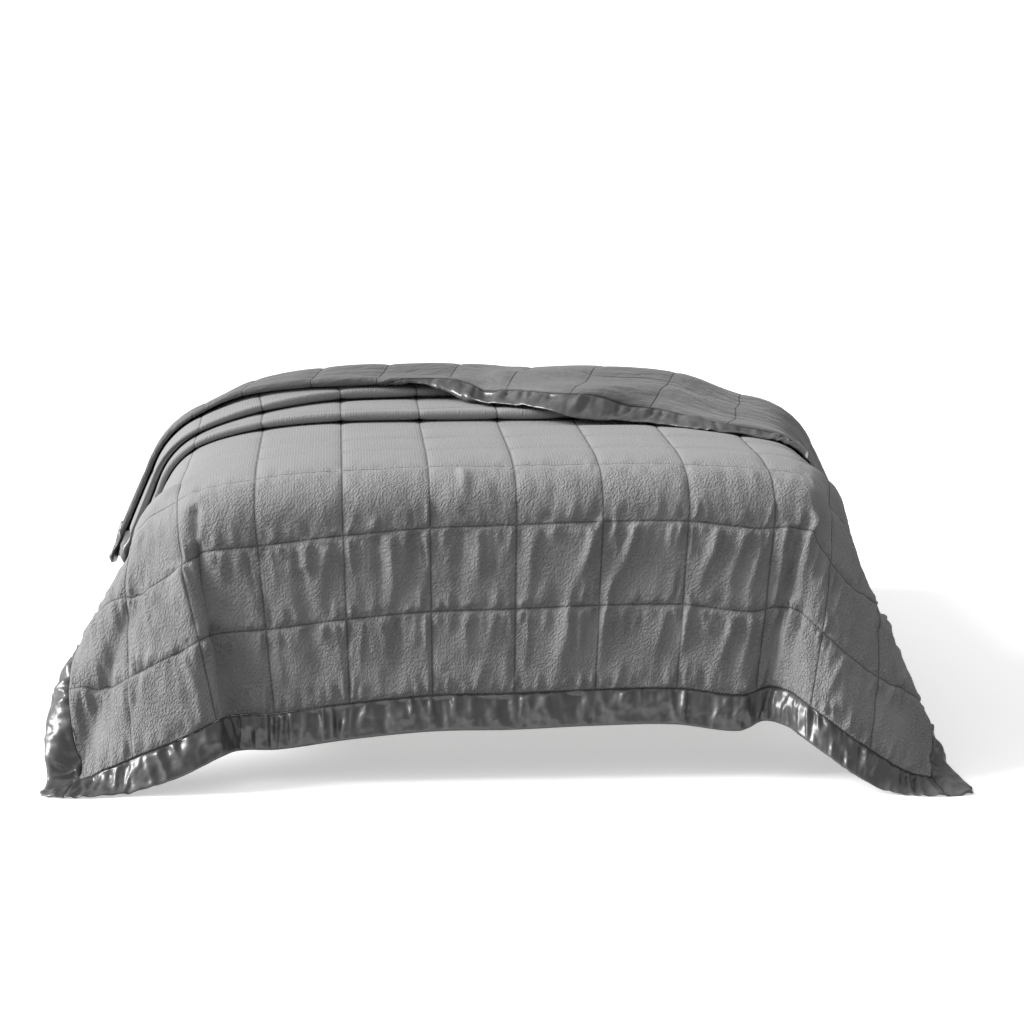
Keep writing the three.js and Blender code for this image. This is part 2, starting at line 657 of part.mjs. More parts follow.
// The part's origin is at the middle of its box, on the floor.
const bounds = new THREE.Box3().setFromObject(bed);
const centre = bounds.getCenter(new THREE.Vector3());
bed.position.set(-centre.x, -centre.y, -FLOOR);
const part = new THREE.Group();
part.add(bed);

export default part;
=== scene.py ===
"""A box quilted blanket with satin bindings, draped over the foot of a plain bed.

The cloth is worked out from its flat cut: every point has a place (s, t) on the flat blanket, s across it
from its middle and t up it from the foot hem. Lengths are in millimetres until a mesh is made.
"""

import itertools
import math

import bmesh
import bpy
import numpy as np
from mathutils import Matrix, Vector


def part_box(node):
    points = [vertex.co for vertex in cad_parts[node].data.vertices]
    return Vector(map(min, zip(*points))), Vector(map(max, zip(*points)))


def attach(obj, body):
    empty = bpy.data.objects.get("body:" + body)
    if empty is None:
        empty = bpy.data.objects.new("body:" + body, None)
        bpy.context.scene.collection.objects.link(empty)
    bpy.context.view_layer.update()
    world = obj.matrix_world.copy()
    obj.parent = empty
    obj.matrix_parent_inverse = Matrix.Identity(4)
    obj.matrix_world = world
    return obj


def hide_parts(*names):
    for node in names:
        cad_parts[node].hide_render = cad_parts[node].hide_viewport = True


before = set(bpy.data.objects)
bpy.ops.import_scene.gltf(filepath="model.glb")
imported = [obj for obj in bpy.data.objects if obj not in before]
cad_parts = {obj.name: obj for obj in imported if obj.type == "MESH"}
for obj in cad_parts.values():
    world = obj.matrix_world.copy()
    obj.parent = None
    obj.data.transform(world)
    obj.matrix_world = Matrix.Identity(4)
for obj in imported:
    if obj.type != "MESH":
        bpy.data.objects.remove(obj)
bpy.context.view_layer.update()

MM = 0.001

# Blanket, flat
BLANKET_WIDTH = 2286.0
BLANKET_LENGTH = 2286.0
BINDING_WIDTH = 76.2
CELL = 177.8
CELLS_ACROSS = 12
SEAM_HALF_THICKNESS = 1.5
CROWN_HALF_THICKNESS = 6.5
BINDING_HALF_THICKNESS = 2.6
SEAM_GAP = 0.2
HIP = BINDING_WIDTH + 3 * CELL
HALF_WIDTH = BLANKET_WIDTH / 2
FIELD_HALF = CELLS_ACROSS * CELL / 2

# Levels, with zero at the blanket's top face in the middle of the bed
FLOOR = -628.0
CLOTH_MIDDLE = -CROWN_HALF_THICKNESS
MATTRESS_FOOT = -30.0
FLOOR_CLOTH = FLOOR + BINDING_HALF_THICKNESS

# The top of the bed and the roll over its edges: a roll is its radius, the slope that the crown reaches
# before it, and the crown's length. The sides are -1 for the left one and 1 for the right one: half is where
# the top ends, dip how low it is there, and skew how far the cloth turns aside round the corner.
TOP_FOOT = 160.0
DIP_POWER = 5
FOOT_ROLL = (95.0, 0.17, 180.0)
SIDES = {
    -1: {
        "half": 638.0, "dip": 39.0, "skew": -0.12,
        "corner": (175.0, 0.215, 92.0), "side": (156.0, 0.41, 33.0),
    },
    1: {
        "half": 604.0, "dip": 26.0, "skew": -0.22,
        "corner": (117.0, 0.207, 56.0), "side": (119.0, 0.45, 30.0),
    },
}
FLOOR_BEND = 30.0
FIRST_SLOPE = 1.2
LEAST_TURN = 0.1
STEEPEST = 1.7
SLOPE_ROUNDS = 5
NORMAL_STEP = 4.0
FACE_STEP = 1.5
TINY = 1e-9

# Where the outer hem hangs: hem is the distance round the cut edge from the middle of the foot hem
HEM = [
    # hem, x, y, z
    (-2803, -842, 1030, -384), (-2553, -845, 783, -374), (-2313, -832, 574, -384),
    (-2183, -815, 485, -390), (-2043, -831, 395, -388), (-1943, -814, 318, -392), (-1843, -781, 245, -398),
    (-1743, -793, 160, -402), (-1643, -845, 102, -408), (-1543, -905, 48, -425), (-1443, -944, -33, -456),
    (-1343, -963, -115, -514), (-1243, -959, -182, -593), (-1143, -929, -209, -697),
    (-1016, -860, -263, -666), (-889, -770, -282, -626), (-790, -673, -280, -589),
    (-711, -598, -252, -557), (-630, -562, -190, -562), (-533, -490, -200, -559), (-356, -343, -205, -539),
    (-178, -177, -205, -525), (0, -13, -205, -524), (178, 150, -206, -518), (356, 314, -208, -517),
    (498, 444, -216, -531), (565, 498, -191, -517), (640, 538, -240, -516), (711, 570, -300, -531),
    (800, 626, -339, -566), (889, 682, -354, -602), (1016, 777, -344, -661), (1143, 867, -296, -695),
    (1243, 885, -246, -633), (1343, 855, -163, -590), (1443, 826, -91, -522), (1543, 796, -15, -460),
    (1643, 765, 50, -422), (1743, 745, 122, -406), (1843, 758, 195, -399), (1943, 778, 272, -388),
    (2043, 775, 350, -393), (2183, 762, 445, -396), (2313, 778, 549, -396), (2553, 795, 756, -394),
    (2803, 795, 1010, -390),
]

# The pleats and the turned back head end, at places s across the width. The lower pleat has its front edge
# at crease2 and is back2 deep, and the upper one has its front edge at crease1. The stack ends at top, and
# flap is the length that is turned back there, of which so much is shown. loft is how far the flap stands
# off, sag how far the stack sinks behind the creases, rise how far its top layer rises, lean how far the
# top layer and the flap slew sideways, layer the height of one layer, and shift moves the whole row up the
# bed.
FOLD_COLUMNS = (
    "s", "shift", "crease2", "back2", "crease1", "top", "flap",
    "shown", "loft", "sag", "lean", "layer", "rise",
)
FOLDS = [
    (-1143, -1, 611, 185, 693, 898, 181, 84, 14, 10, -40, 11, 2),
    (-711, 2, 611, 185, 703, 912, 180, 86, 11, 6, -5, 9, 9),
    (-533, 16, 611, 185, 741, 906, 185, 88, 13, 5, -10, 11, 20),
    (-356, 11, 611, 185, 803, 905, 191, 90, 15, 5, -35, 13, 20),
    (-178, -1, 611, 185, 827, 909, 191, 94, 19, -1, -60, 13, 15),
    (0, -9, 611, 175, 845, 916, 190, 150, 29, 2, -70, 13, 6),
    (178, -14, 615, 128, 850, 924, 290, 290, 34, 11, -78, 13, 0),
    (356, -14, 725, 78, 848, 920, 404, 404, 36, 12, -76, 13, 0),
    (533, -4, 705, 88, 822, 896, 400, 400, 33, 31, -74, 12, 0),
    (711, -4, 690, 74, 793, 872, 466, 466, 10, 40, -48, 10, 0),
    (1143, 3, 680, 85, 749, 828, 480, 480, 20, 36, 5, 11.5, 0),
]
EVEN_SHIFT = 711.0
TOP_LAYER = 4

# Between the layers of the stack, and how far along the cloth each change of height takes
STACK_GAP = 1.4
STACK_START = 130.0
PLEAT_SLACK = 4.0
SAG_LENGTH = 140.0
DROP_LENGTH = 90.0
DROP_LEAD = 112.0
LOFT_LENGTH = 150.0
TUCK_SINK = 0.5
TUCK_LENGTH = 50.0
FLAP_SLANT = 0.36

# How far a layer is drawn in where the stack goes over the bed's sides, as a share of its height
EDGE_TURN = 1.15
EDGE_START = 520.0
EDGE_LENGTH = 260.0


def smooth(v):
    u = np.clip(v, 0, 1)
    return u * u * (3 - 2 * u)


def mix(a, b, u):
    return a + (b - a) * u


def curve_through(table):
    """A smooth curve through the rows of a table, read at a place in the first column."""
    rows = np.array(table, float)
    knots, values = rows[:, 0], rows[:, 1:]
    last = len(knots) - 1
    before = np.maximum(np.arange(last + 1) - 1, 0)
    after = np.minimum(np.arange(last + 1) + 1, last)
    slopes = (values[after] - values[before]) / (knots[after] - knots[before])[:, None]

    def at(place):
        v = np.clip(place, knots[0], knots[-1])
        i = np.clip(np.searchsorted(knots, v) - 1, 0, last - 1)
        span = (knots[i + 1] - knots[i])[..., None]
        u = (v - knots[i])[..., None] / span
        return (
            (2 * u**3 - 3 * u**2 + 1) * values[i]
            + (u**3 - 2 * u**2 + u) * span * slopes[i]
            + (3 * u**2 - 2 * u**3) * values[i + 1]
            + (u**3 - u**2) * span * slopes[i + 1]
        )

    return at


hem_at = curve_through(HEM)
fold_curve = curve_through(FOLDS)


def fold_at(s):
    """The measures of the stack at places across the cloth, by their column names."""
    values = fold_curve(s)
    return {name: values[..., i] for i, name in enumerate(FOLD_COLUMNS[1:])}


def of_side(side, name):
    """A measure of the bed's left side where side is below 0, else of its right side."""
    left = side < 0
    if isinstance(SIDES[1][name], tuple):
        left = left[..., None]
    return np.where(left, SIDES[-1][name], SIDES[1][name])


def top_dip(s):
    """How far the top has come down towards the bed's sides."""
    share = np.minimum(1, np.abs(s) / of_side(s, "half"))
    return of_side(s, "dip") * share**DIP_POWER


def roll_path(length, roll, first, slope):
    """How far out and down the roll over the edge is after a length, and the length past its end."""
    radius, crown, crown_length = roll
    roll_length = radius * np.maximum(0, slope - crown)
    on_crown = np.clip(length, 0, crown_length)
    crown_slope = first + (crown - first) * on_crown / crown_length / 2
    on_roll = np.clip(length - crown_length, 0, roll_length)
    turned = crown + on_roll / radius
    out = on_crown * np.cos(crown_slope) + radius * (np.sin(turned) - np.sin(crown))
    down = on_crown * np.sin(crown_slope) + radius * (np.cos(crown) - np.cos(turned))
    return out, down, np.maximum(0, length - crown_length - roll_length)


def roll_at(side, turn):
    """The roll in a direction: turn is 0 straight over the foot, 1 straight over the side."""
    foot = np.array(FOOT_ROLL)
    corner = of_side(side, "corner")
    beside = of_side(side, "side")
    first_half = (turn < 0.5)[..., None]
    v = smooth(np.where(turn < 0.5, 2 * turn, 2 * turn - 1))[..., None]
    both = np.where(first_half, mix(foot, corner, v), mix(corner, beside, v))
    return both[..., 0], both[..., 1], both[..., 2]


def sheet_point(s, y):
    """The draped sheet without its folds, at the cloth point that lies at (s, y) when it is spread level."""
    side = np.where(s < 0, -1.0, 1.0)
    half = of_side(side, "half")
    over = np.maximum(0, np.abs(s) - half)
    past = np.maximum(0, TOP_FOOT - y)
    anchor_x = side * np.minimum(np.abs(s), half)
    anchor_y = np.maximum(y, TOP_FOOT)
    high = CLOTH_MIDDLE - top_dip(s)
    length = np.hypot(over, past)
    level = length < TINY
    length = np.where(level, TINY, length)
    around = np.arctan2(over, past)
    turn = around * 2 / np.pi
    heading = around + of_side(side, "skew") * np.sin(np.pi * turn)
    dx, dy = side * np.sin(heading), -np.cos(heading)
    shift = fold_curve(np.clip(s, -EVEN_SHIFT, EVEN_SHIFT))[..., 0]
    at_foot = (TOP_FOOT + HIP + shift) / np.maximum(past, TINY)
    at_side = (HALF_WIDTH - half) / np.maximum(over, TINY)
    reach = np.minimum(at_foot, at_side)
    reach = np.where(level, 1, reach)
    hem_s = anchor_x + side * over * reach
    hem_t = anchor_y - past * reach + HIP + shift
    target = hem_at(np.where(at_foot < at_side, hem_s, side * (HALF_WIDTH + hem_t)))
    whole = length * reach
    roll = roll_at(side, turn)
    first = DIP_POWER * of_side(side, "dip") / half * over / length

    def along(out, down):
        return np.stack([anchor_x + dx * out, anchor_y + dy * out, high - down], -1)

    slope = np.full(s.shape, FIRST_SLOPE)
    for _ in range(SLOPE_ROUNDS):
        rolled = roll[2] + roll[0] * (slope - roll[1])
        out, down, _ = roll_path(rolled, roll, first, slope)
        run = target - along(out, down)
        facing = run[..., 0] * dx + run[..., 1] * dy
        slope = np.clip(np.arctan2(-run[..., 2], facing), roll[1] + LEAST_TURN, STEEPEST)
    rolled = roll[2] + roll[0] * (slope - roll[1])
    out, down, _ = roll_path(rolled, roll, first, slope)
    run = target - along(out, down)
    straight = np.linalg.norm(run, axis=-1)
    out, down, hanging = roll_path(length * (rolled + straight) / whole, roll, first, slope)
    hung = along(out, down) + run * (hanging / straight)[..., None]
    depth = np.maximum(0, FLOOR_CLOTH + FLOOR_BEND - hung[..., 2])
    bent = np.minimum(depth, 2 * FLOOR_BEND)
    raised = bent * bent / (4 * FLOOR_BEND) + (depth - bent)
    hung = hung + np.stack([dx * raised, dy * raised, raised], -1)
    return np.where(level[..., None], np.stack([s, y, high], -1), hung)


def spare_length(row):
    """The length left over for the upper pleat, forward and back."""
    turn = np.pi * row["layer"] / 2
    top_turn = turn + np.pi * row["loft"] / 2
    laid = HIP + row["shift"] + row["top"] + row["flap"] + 2 * row["back2"]
    return BLANKET_LENGTH - laid - 4 * turn - top_turn


def fold_path(s, t):
    """How far up the bed, how high on the stack and how far slewed sideways the cloth lies at (s, t)."""
    row = fold_at(s)
    layer = row["layer"]
    radius = layer / 2
    back2 = row["crease2"] + row["back2"]
    turn = np.pi * radius
    top_radius = radius + row["loft"] / 2
    spare = spare_length(row)
    back1 = row["crease1"] + spare / 2
    room = 2 * layer - PLEAT_SLACK

    def sink(y, back, most):
        return -np.clip(most, 0, room) * smooth((y - back + radius) / SAG_LENGTH)

    def risen(y, at):
        return at["rise"] * smooth((y - at["crease1"]) / (at["top"] - at["crease1"]))

    def sag(y, level):
        if level < TOP_LAYER:
            return sink(y, back2, row["sag"])
        return sink(y, back2, row["sag"]) + sink(y, back1, row["sag"] - room) + risen(y, row)

    runs = [
        (None, back2, 0),
        (back2, row["crease2"], 1),
        (row["crease2"], back1, 2),
        (back1, row["crease1"], 3),
        (row["crease1"], row["top"], TOP_LAYER),
    ]
    y, height, lean = np.zeros(s.shape), np.zeros(s.shape), np.zeros(s.shape)
    free = np.ones(s.shape, bool)
    left = t - HIP - row["shift"]

    def put(on, here, up, slew):
        y[on], height[on] = here[on], np.broadcast_to(up, s.shape)[on]
        lean[on] = np.broadcast_to(slew, s.shape)[on]
        free[on] = False

    for start, end, level in runs:
        ahead = 1 if level % 2 == 0 else -1
        length = end if start is None else np.abs(end - start)
        slew = 0 if level < TOP_LAYER else row["lean"] * smooth(left / length)
        here = left if start is None else start + ahead * left
        up = level * layer + (sag(here, level) if level > 1 else 0)
        put(free & (left <= length), here, up, slew)
        left = left - length
        bend = top_radius if level == TOP_LAYER else radius
        a = left / bend
        lift = sag(end, level) if level > 0 else 0
        bent = end + ahead * bend * np.sin(a)
        put(free & (a <= np.pi), bent, level * layer + bend * (1 - np.cos(a)) + lift, slew)
        left = left - np.pi * bend

    slant = math.hypot(1, FLAP_SLANT)
    tucked = smooth((row["flap"] - row["shown"]) / turn)
    shown = np.minimum(left, row["shown"])
    rest = np.maximum(0, left - shown)
    a = np.minimum(rest / radius, np.pi)
    back = np.maximum(0, rest - turn)
    here = row["top"] - shown / slant + back - radius * np.sin(a)
    slewed = row["lean"] - shown * FLAP_SLANT / slant
    under = fold_at(s + slewed)
    steps = smooth((here - under["crease2"] + DROP_LEAD) / DROP_LENGTH)
    steps = steps + smooth((here - under["crease1"] + DROP_LEAD) / DROP_LENGTH)
    reach = row["shown"] / slant
    full = smooth((here - row["top"] + mix(row["shown"], reach, tucked)) / mix(LOFT_LENGTH, reach, tucked))
    extra = np.maximum(row["loft"] * full, layer * tucked)
    over = layer * (1 + 2 * steps) + extra + sag(here, TOP_LAYER)
    # What is tucked under lies midway, on the slope of the layers beneath it
    below = fold_at(s + slewed - row["lean"])
    slope = (TOP_LAYER + 1) * (layer - below["layer"]) + (row["loft"] - below["loft"]) * full
    slope = slope + risen(here, row) - risen(here, below)
    sunk = (TUCK_SINK * np.maximum(0, extra - layer) + slope) * smooth(back / TUCK_LENGTH)
    put(free.copy(), here, over - radius * (1 - np.cos(a)) - sunk, slewed)
    return y, height, lean


def unit(v):
    return v / np.linalg.norm(v, axis=-1, keepdims=True)


def normal_of(place, s, t, step):
    """The unit normal of a surface, from small steps across and along it."""
    across = place(s + step, t) - place(s - step, t)
    along = place(s, t + step) - place(s, t - step)
    return unit(np.cross(across, along))


def middle(s, t):
    """The middle surface of the folded cloth, in millimetres on the bed."""
    y, height, lean = fold_path(s, t)
    turned = EDGE_TURN * smooth((np.abs(s) - EDGE_START) / EDGE_LENGTH)
    across = s + lean - np.sign(s) * height * turned
    on = sheet_point(across, y)
    return on + normal_of(sheet_point, across, y, NORMAL_STEP) * height[..., None]


def surface(s, t):
    """The middle surface and its normal."""
    return middle(s, t), normal_of(middle, s, t, FACE_STEP)


# The flat cloth in cells: column 0 is the middle line, row 0 the hip line and row 3 the foot seam
def column(s):
    return s / CELL


def row_of(t):
    return (HIP - t) / CELL


NOISE_SIZE = 64


def lattice_noise(x, y, seed):
    """Smooth noise from -1 to 1, with bumps one unit across."""
    values = np.random.default_rng(seed).uniform(-1, 1, (NOISE_SIZE, NOISE_SIZE))
    i, j = np.floor(x).astype(int), np.floor(y).astype(int)
    u, v = smooth(x - i), smooth(y - j)

    def value(across, up):
        return values[(i + across) % NOISE_SIZE, (j + up) % NOISE_SIZE]

    return mix(mix(value(0, 0), value(1, 0), u), mix(value(0, 1), value(1, 1), u), v)


# Soft folds of the hanging cloth, from one place to another in columns and rows, with their half width
# and height in millimetres. A negative height is a valley.
DRAPE_FOLDS = [
    # column, row, column, row, half width, height
    (-3.72, 0.35, -3.76, 1.2, 20, -12),
    (-3.76, 0.8, -3.70, 2.4, 24, -15),
    (-3.70, 1.8, -3.78, 3.4, 26, -12),
    (-4.05, 0.9, -4.02, 2.9, 30, 8),
    (1.02, 0.9, 0.62, 2.05, 13, 9),
    (0.64, 1.9, 0.50, 3.1, 18, 10),
    (0.88, 1.05, 0.80, 1.6, 9, 6),
    (1.42, 0.98, 1.08, 2.0, 12, 9),
    (1.10, 1.9, 0.98, 3.0, 12, 8),
    (1.16, 0.95, 1.02, 1.5, 8, 6),
    (2.36, 1.0, 2.08, 2.1, 11, 8),
    (2.10, 1.9, 2.0, 2.8, 12, 7),
    (2.68, 1.0, 2.42, 2.0, 10, 8),
    (2.86, 1.2, 2.72, 2.1, 9, 6),
    (2.62, 2.0, 2.40, 3.0, 10, 7),
    (2.86, 2.05, 2.70, 3.0, 10, 6),
    (3.14, 0.9, 3.10, 2.2, 12, 8),
    (3.30, 1.0, 3.22, 3.0, 14, -8),
    (3.52, 0.7, 3.45, 2.2, 22, 13),
    (3.46, 1.8, 3.36, 3.2, 22, 12),
    (-2.42, 1.0, -2.48, 1.9, 14, 8),
    (-2.50, 1.3, -2.42, 2.3, 14, -7),
    (-2.50, 2.0, -2.28, 2.9, 20, -7),
    (-2.20, 1.1, -2.36, 1.8, 10, 6),
    (-1.62, 1.0, -1.58, 2.0, 14, -7),
    (-1.44, 1.0, -1.46, 2.1, 12, 6),
    (-1.20, 1.0, -1.22, 1.9, 16, -8),
    (-1.40, 2.0, -1.46, 3.0, 20, -6),
    (-0.62, 0.1, -0.58, 0.95, 10, 5),
    (-0.45, 1.0, -0.44, 2.0, 12, 6),
    (-0.62, 1.0, -0.70, 2.0, 22, -6),
    (0.2, 1.05, 0.10, 2.3, 14, 5),
]
FOLD_STRENGTH = 1.4
FOLD_START_WIDTH = 0.66
FOLD_SPREAD = 0.5
FOLD_HEAD = 0.10
FOLD_TAIL = 0.3

# The gathers along the crosswise seams of the hanging cloth, in each cell above and below a seam
SEAM_ROWS = (1, 2)
FOOT_SEAM_ROW = 3
GATHERS_ABOVE = 6
GATHERS_BELOW = 9
GATHER_SEED = 11
GATHER_PLACE = (0.15, 0.85)
GATHER_START = 0.02
GATHER_LEAN = -0.02
GATHER_LEAN_RIGHT = -0.13
GATHER_LEAN_SPREAD = 0.1
LEAN_COLUMNS = 3
GATHER_REACH = (0.12, 0.62)
REACH_ABOVE = 0.85
REACH_BELOW = 1.35
GATHER_WIDTH = (3.6, 8.5)
GATHER_HEIGHT = (1.8, 5.6)
RAISED_SHARE = 0.7
VALLEY_DEPTH = -0.8

# Uneven swelling: bumps in each cell across and down, their height in millimetres, and a seed
HANGING_BUMPS = [(9, 3.5, 2.0, 3), (17, 9, 1.1, 4)]
LYING_BUMPS = (1.4, 7, 1.0, 5)
LYING_BUMPS_START = 7

# The rows where the hanging part and the lying part begin, and the length in rows over which they do
HANGING_FADE = (-0.6, 0.8)
LYING_START = (-4.4, 0.5)
LYING_END = (-0.9, 0.6)


def ridge(s, t, fold, total):
    """Adds one ridge that runs down the cloth, highest a little way along it, to the total."""
    c0, r0, c1, r1, width, height = fold
    start = np.array([c0 * CELL, HIP - r0 * CELL])
    run = np.array([c1 * CELL, HIP - r1 * CELL]) - start
    length = np.hypot(*run)
    run = run / length
    near = (
        (s > min(c0, c1) * CELL - 3 * width)
        & (s < max(c0, c1) * CELL + 3 * width)
        & (t < HIP - min(r0, r1) * CELL)
        & (t > HIP - max(r0, r1) * CELL)
    )
    ds, dt = s[near] - start[0], t[near] - start[1]
    u = (ds * run[0] + dt * run[1]) / length
    wide = width * (FOLD_START_WIDTH + FOLD_SPREAD * np.clip(u, 0, 1))
    off = (ds * run[1] - dt * run[0]) / wide
    share = smooth(u / FOLD_HEAD) * (1 - smooth((u - FOLD_TAIL) / (1 - FOLD_TAIL)))
    total[near] += FOLD_STRENGTH * height * np.exp(-off * off) * share


def gather_folds():
    """Small gathers that fan from the crosswise seams of the hanging cloth, above and below each."""
    random = np.random.default_rng(GATHER_SEED)
    both_ways = ((-1, GATHERS_ABOVE, REACH_ABOVE), (1, GATHERS_BELOW, REACH_BELOW))
    ways = {row: both_ways for row in SEAM_ROWS}
    ways[FOOT_SEAM_ROW] = ((-1, GATHERS_BELOW, REACH_ABOVE),)
    folds = []
    for row, cell in itertools.product(ways, range(-CELLS_ACROSS // 2, CELLS_ACROSS // 2)):
        for way, count, longer in ways[row]:
            for k in range(count):
                c = cell + (k + random.uniform(*GATHER_PLACE)) / count
                reach = random.uniform(*GATHER_REACH) * longer
                rightwards = GATHER_LEAN_RIGHT * np.clip(c / LEAN_COLUMNS, -0.4, 1)
                lean = random.normal(GATHER_LEAN + rightwards, GATHER_LEAN_SPREAD) * reach * way
                width = random.uniform(*GATHER_WIDTH)
                height = random.uniform(*GATHER_HEIGHT)
                height = height * (1 if random.random() < RAISED_SHARE else VALLEY_DEPTH)
                folds.append((c, row + GATHER_START * way, c + lean, row + reach * way, width, height))
    return folds


def faded(down, fade):
    start, length = fade
    return smooth((down - start) / length)


def relief(s, t):
    """How far the cloth stands off its smooth drape."""
    total = np.zeros(s.shape)
    for fold in DRAPE_FOLDS + GATHERS:
        c0, r0, c1, r1, width, height = fold
        if r1 < r0:
            ridge(s, 2 * HIP - t, (c0, -r0, c1, -r1, width, height), total)
        else:
            ridge(s, t, fold, total)
    across, down = column(s), row_of(t)
    hanging = faded(down, HANGING_FADE)
    for wide, long, height, seed in HANGING_BUMPS:
        total += hanging * height * lattice_noise(across * wide, down * long, seed)
    lying = (1 - faded(down, LYING_END)) * faded(down, LYING_START)
    wide, long, height, seed = LYING_BUMPS
    total += lying * height * lattice_noise(across * wide + LYING_BUMPS_START, down * long, seed)
    return total


GATHERS = gather_folds()


PINCH_LENGTH = 8.0
FLAT_CROWN = 0.66
CROWN_POWER = 0.8


def quilt_half(s, t):
    """Half the thickness of the filled field: pinched on the stitched lines, crowned between them."""
    u = (s + FIELD_HALF) / CELL
    v = (t - BINDING_WIDTH) / CELL
    du = np.abs(u - np.round(u)) * CELL
    dv = np.abs(v - np.round(v)) * CELL
    pinch = (1 - np.exp(-du / PINCH_LENGTH)) * (1 - np.exp(-dv / PINCH_LENGTH))
    crown = FLAT_CROWN + (1 - FLAT_CROWN) * np.abs(np.sin(np.pi * u) * np.sin(np.pi * v)) ** CROWN_POWER
    return mix(SEAM_HALF_THICKNESS, full_half(s, t), pinch * crown)


def full_half(s, t):
    """Half the most thickness of the field: less where it is folded into the stack."""
    row = fold_at(s)
    folded = smooth((t - HIP - row["shift"] - row["crease2"] + STACK_START) / STACK_START)
    return mix(CROWN_HALF_THICKNESS, row["layer"] / 2 - STACK_GAP, folded)


# Meshes
mattress_low, mattress_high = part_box("mattress")
BED_ORIGIN = np.array(
    [(mattress_low.x + mattress_high.x) / 2, mattress_low.y - MATTRESS_FOOT * MM, -FLOOR * MM]
)


def to_part(points):
    """Points of the bed in millimetres, as points of the part in metres."""
    return np.asarray(points, float) * MM + BED_ORIGIN


def new_mesh(name, points, faces, materials, slots=None):
    mesh = bpy.data.meshes.new(name)
    mesh.from_pydata(np.asarray(points).reshape(-1, 3).tolist(), [], faces)
    for material in materials:
        mesh.materials.append(material)
    if slots is not None:
        mesh.polygons.foreach_set("material_index", np.asarray(slots, np.int32))
    mesh.polygons.foreach_set("use_smooth", np.ones(len(mesh.polygons), bool))
    mesh.update()
    piece = bpy.data.objects.new(name, mesh)
    bpy.context.scene.collection.objects.link(piece)
    return piece


def grid_faces(rows, wide, start, flip):
    """The faces of a grid of points whose first one has the index start."""
    j, i = np.meshgrid(np.arange(rows - 1), np.arange(wide - 1), indexing="ij")
    a = (j * wide + i).ravel() + start
    corners = [a, a + 1, a + wide + 1, a + wide]
    if flip:
        corners.reverse()
    return np.stack(corners, -1).tolist()


def ring(rows, wide, start):
    """The edge of a grid, counterclockwise."""
    foot = [start + i for i in range(wide - 1)]
    right = [start + j * wide + wide - 1 for j in range(rows - 1)]
    head = [start + (rows - 1) * wide + i for i in range(wide - 1, 0, -1)]
    left = [start + j * wide for j in range(rows - 1, 0, -1)]
    return foot + right + head + left


def slab(name, s, t, face, back, materials, coarse=1):
    """A closed piece of cloth over a grid of flat places: face and back are how far its two faces lie
    from the middle surface. The back may have fewer points, one for each so many of the face."""
    centre, normal = surface(s, t)
    top = centre + normal * face[..., None]
    under = (centre - normal * back[..., None])[::coarse, ::coarse]
    rows, wide = s.shape
    low_rows, low_wide = under.shape[:2]
    points = np.concatenate([top.reshape(-1, 3), under.reshape(-1, 3)])
    points[:, 2] = np.maximum(points[:, 2], FLOOR)
    count = rows * wide
    faces = grid_faces(rows, wide, 0, False) + grid_faces(low_rows, low_wide, count, True)
    slots = [0] * ((rows - 1) * (wide - 1)) + [1] * (len(faces) - (rows - 1) * (wide - 1))
    upper, lower = ring(rows, wide, 0), ring(low_rows, low_wide, count)
    for k in range(len(lower)):
        edge = [upper[(k * coarse + m) % len(upper)] for m in range(coarse + 1)]
        faces.append(edge[::-1] + [lower[k], lower[(k + 1) % len(lower)]])
        slots.append(1)
    piece = new_mesh(name, to_part(points), faces, materials, slots)
    cloth = piece.data.attributes.new("cloth", "FLOAT_VECTOR", "POINT")
    places = ((s, t), (s[::coarse, ::coarse], t[::coarse, ::coarse]))
    flat = [np.stack([a, b, 0 * a], -1).reshape(-1, 3) for a, b in places]
    cloth.data.foreach_set("vector", (np.concatenate(flat) * MM).astype(np.float32).ravel())
    return piece


def clustered(cells, steps, pull):
    """Places along a row of cells, closer together near the seams."""
    u = np.arange(steps) / steps
    u = u - pull * np.sin(2 * np.pi * u) / (2 * np.pi)
    return np.concatenate([cell + u for cell in range(cells)] + [[cells]])


# Steps of the field's mesh: in a cell across it, down the front and on the top, then in each run and turn
# of the stack. PULL draws them to the seams. The back has one point for BACK_COARSE of the face's.
COLUMN_STEPS = 30
FRONT_STEPS = 28
TOP_STEPS = 12
PULL = 0.35
RUN_STEPS = (6, 6, 6, 8, 16, 5, 4, 8, 14, 11, 36)
BACK_COARSE = 3


def field_rows(s):
    """Flat places along the cloth, for each place across it."""
    row = fold_at(s)
    turn = np.pi * row["layer"] / 2
    top_turn = turn + np.pi * row["loft"] / 2
    spare = spare_length(row)
    start = BINDING_WIDTH + clustered(3, FRONT_STEPS, PULL) * CELL
    start[0] += SEAM_GAP / 2
    lying = HIP + clustered(3, TOP_STEPS, PULL)[1:] * CELL
    rows = [np.full(s.shape, t) for t in np.concatenate([start, lying])]
    mark = HIP + row["shift"] + row["crease2"] + row["back2"]
    marks = [rows[-1], mark]
    for length in (
        turn, row["back2"], turn, row["crease1"] + spare / 2 - row["crease2"], turn, spare / 2, turn,
        row["top"] - row["crease1"], top_turn,
    ):
        mark = mark + length
        marks.append(mark)
    marks.append(np.full(s.shape, BLANKET_LENGTH - BINDING_WIDTH - SEAM_GAP / 2))
    for a, b, steps in zip(marks, marks[1:], RUN_STEPS):
        rows.extend(mix(a, b, k / steps) for k in range(1, steps + 1))
    return np.array(rows)


# Materials
def srgb(value):
    v = value / 255
    return v / 12.92 if v <= 0.04045 else ((v + 0.055) / 1.055) ** 2.4


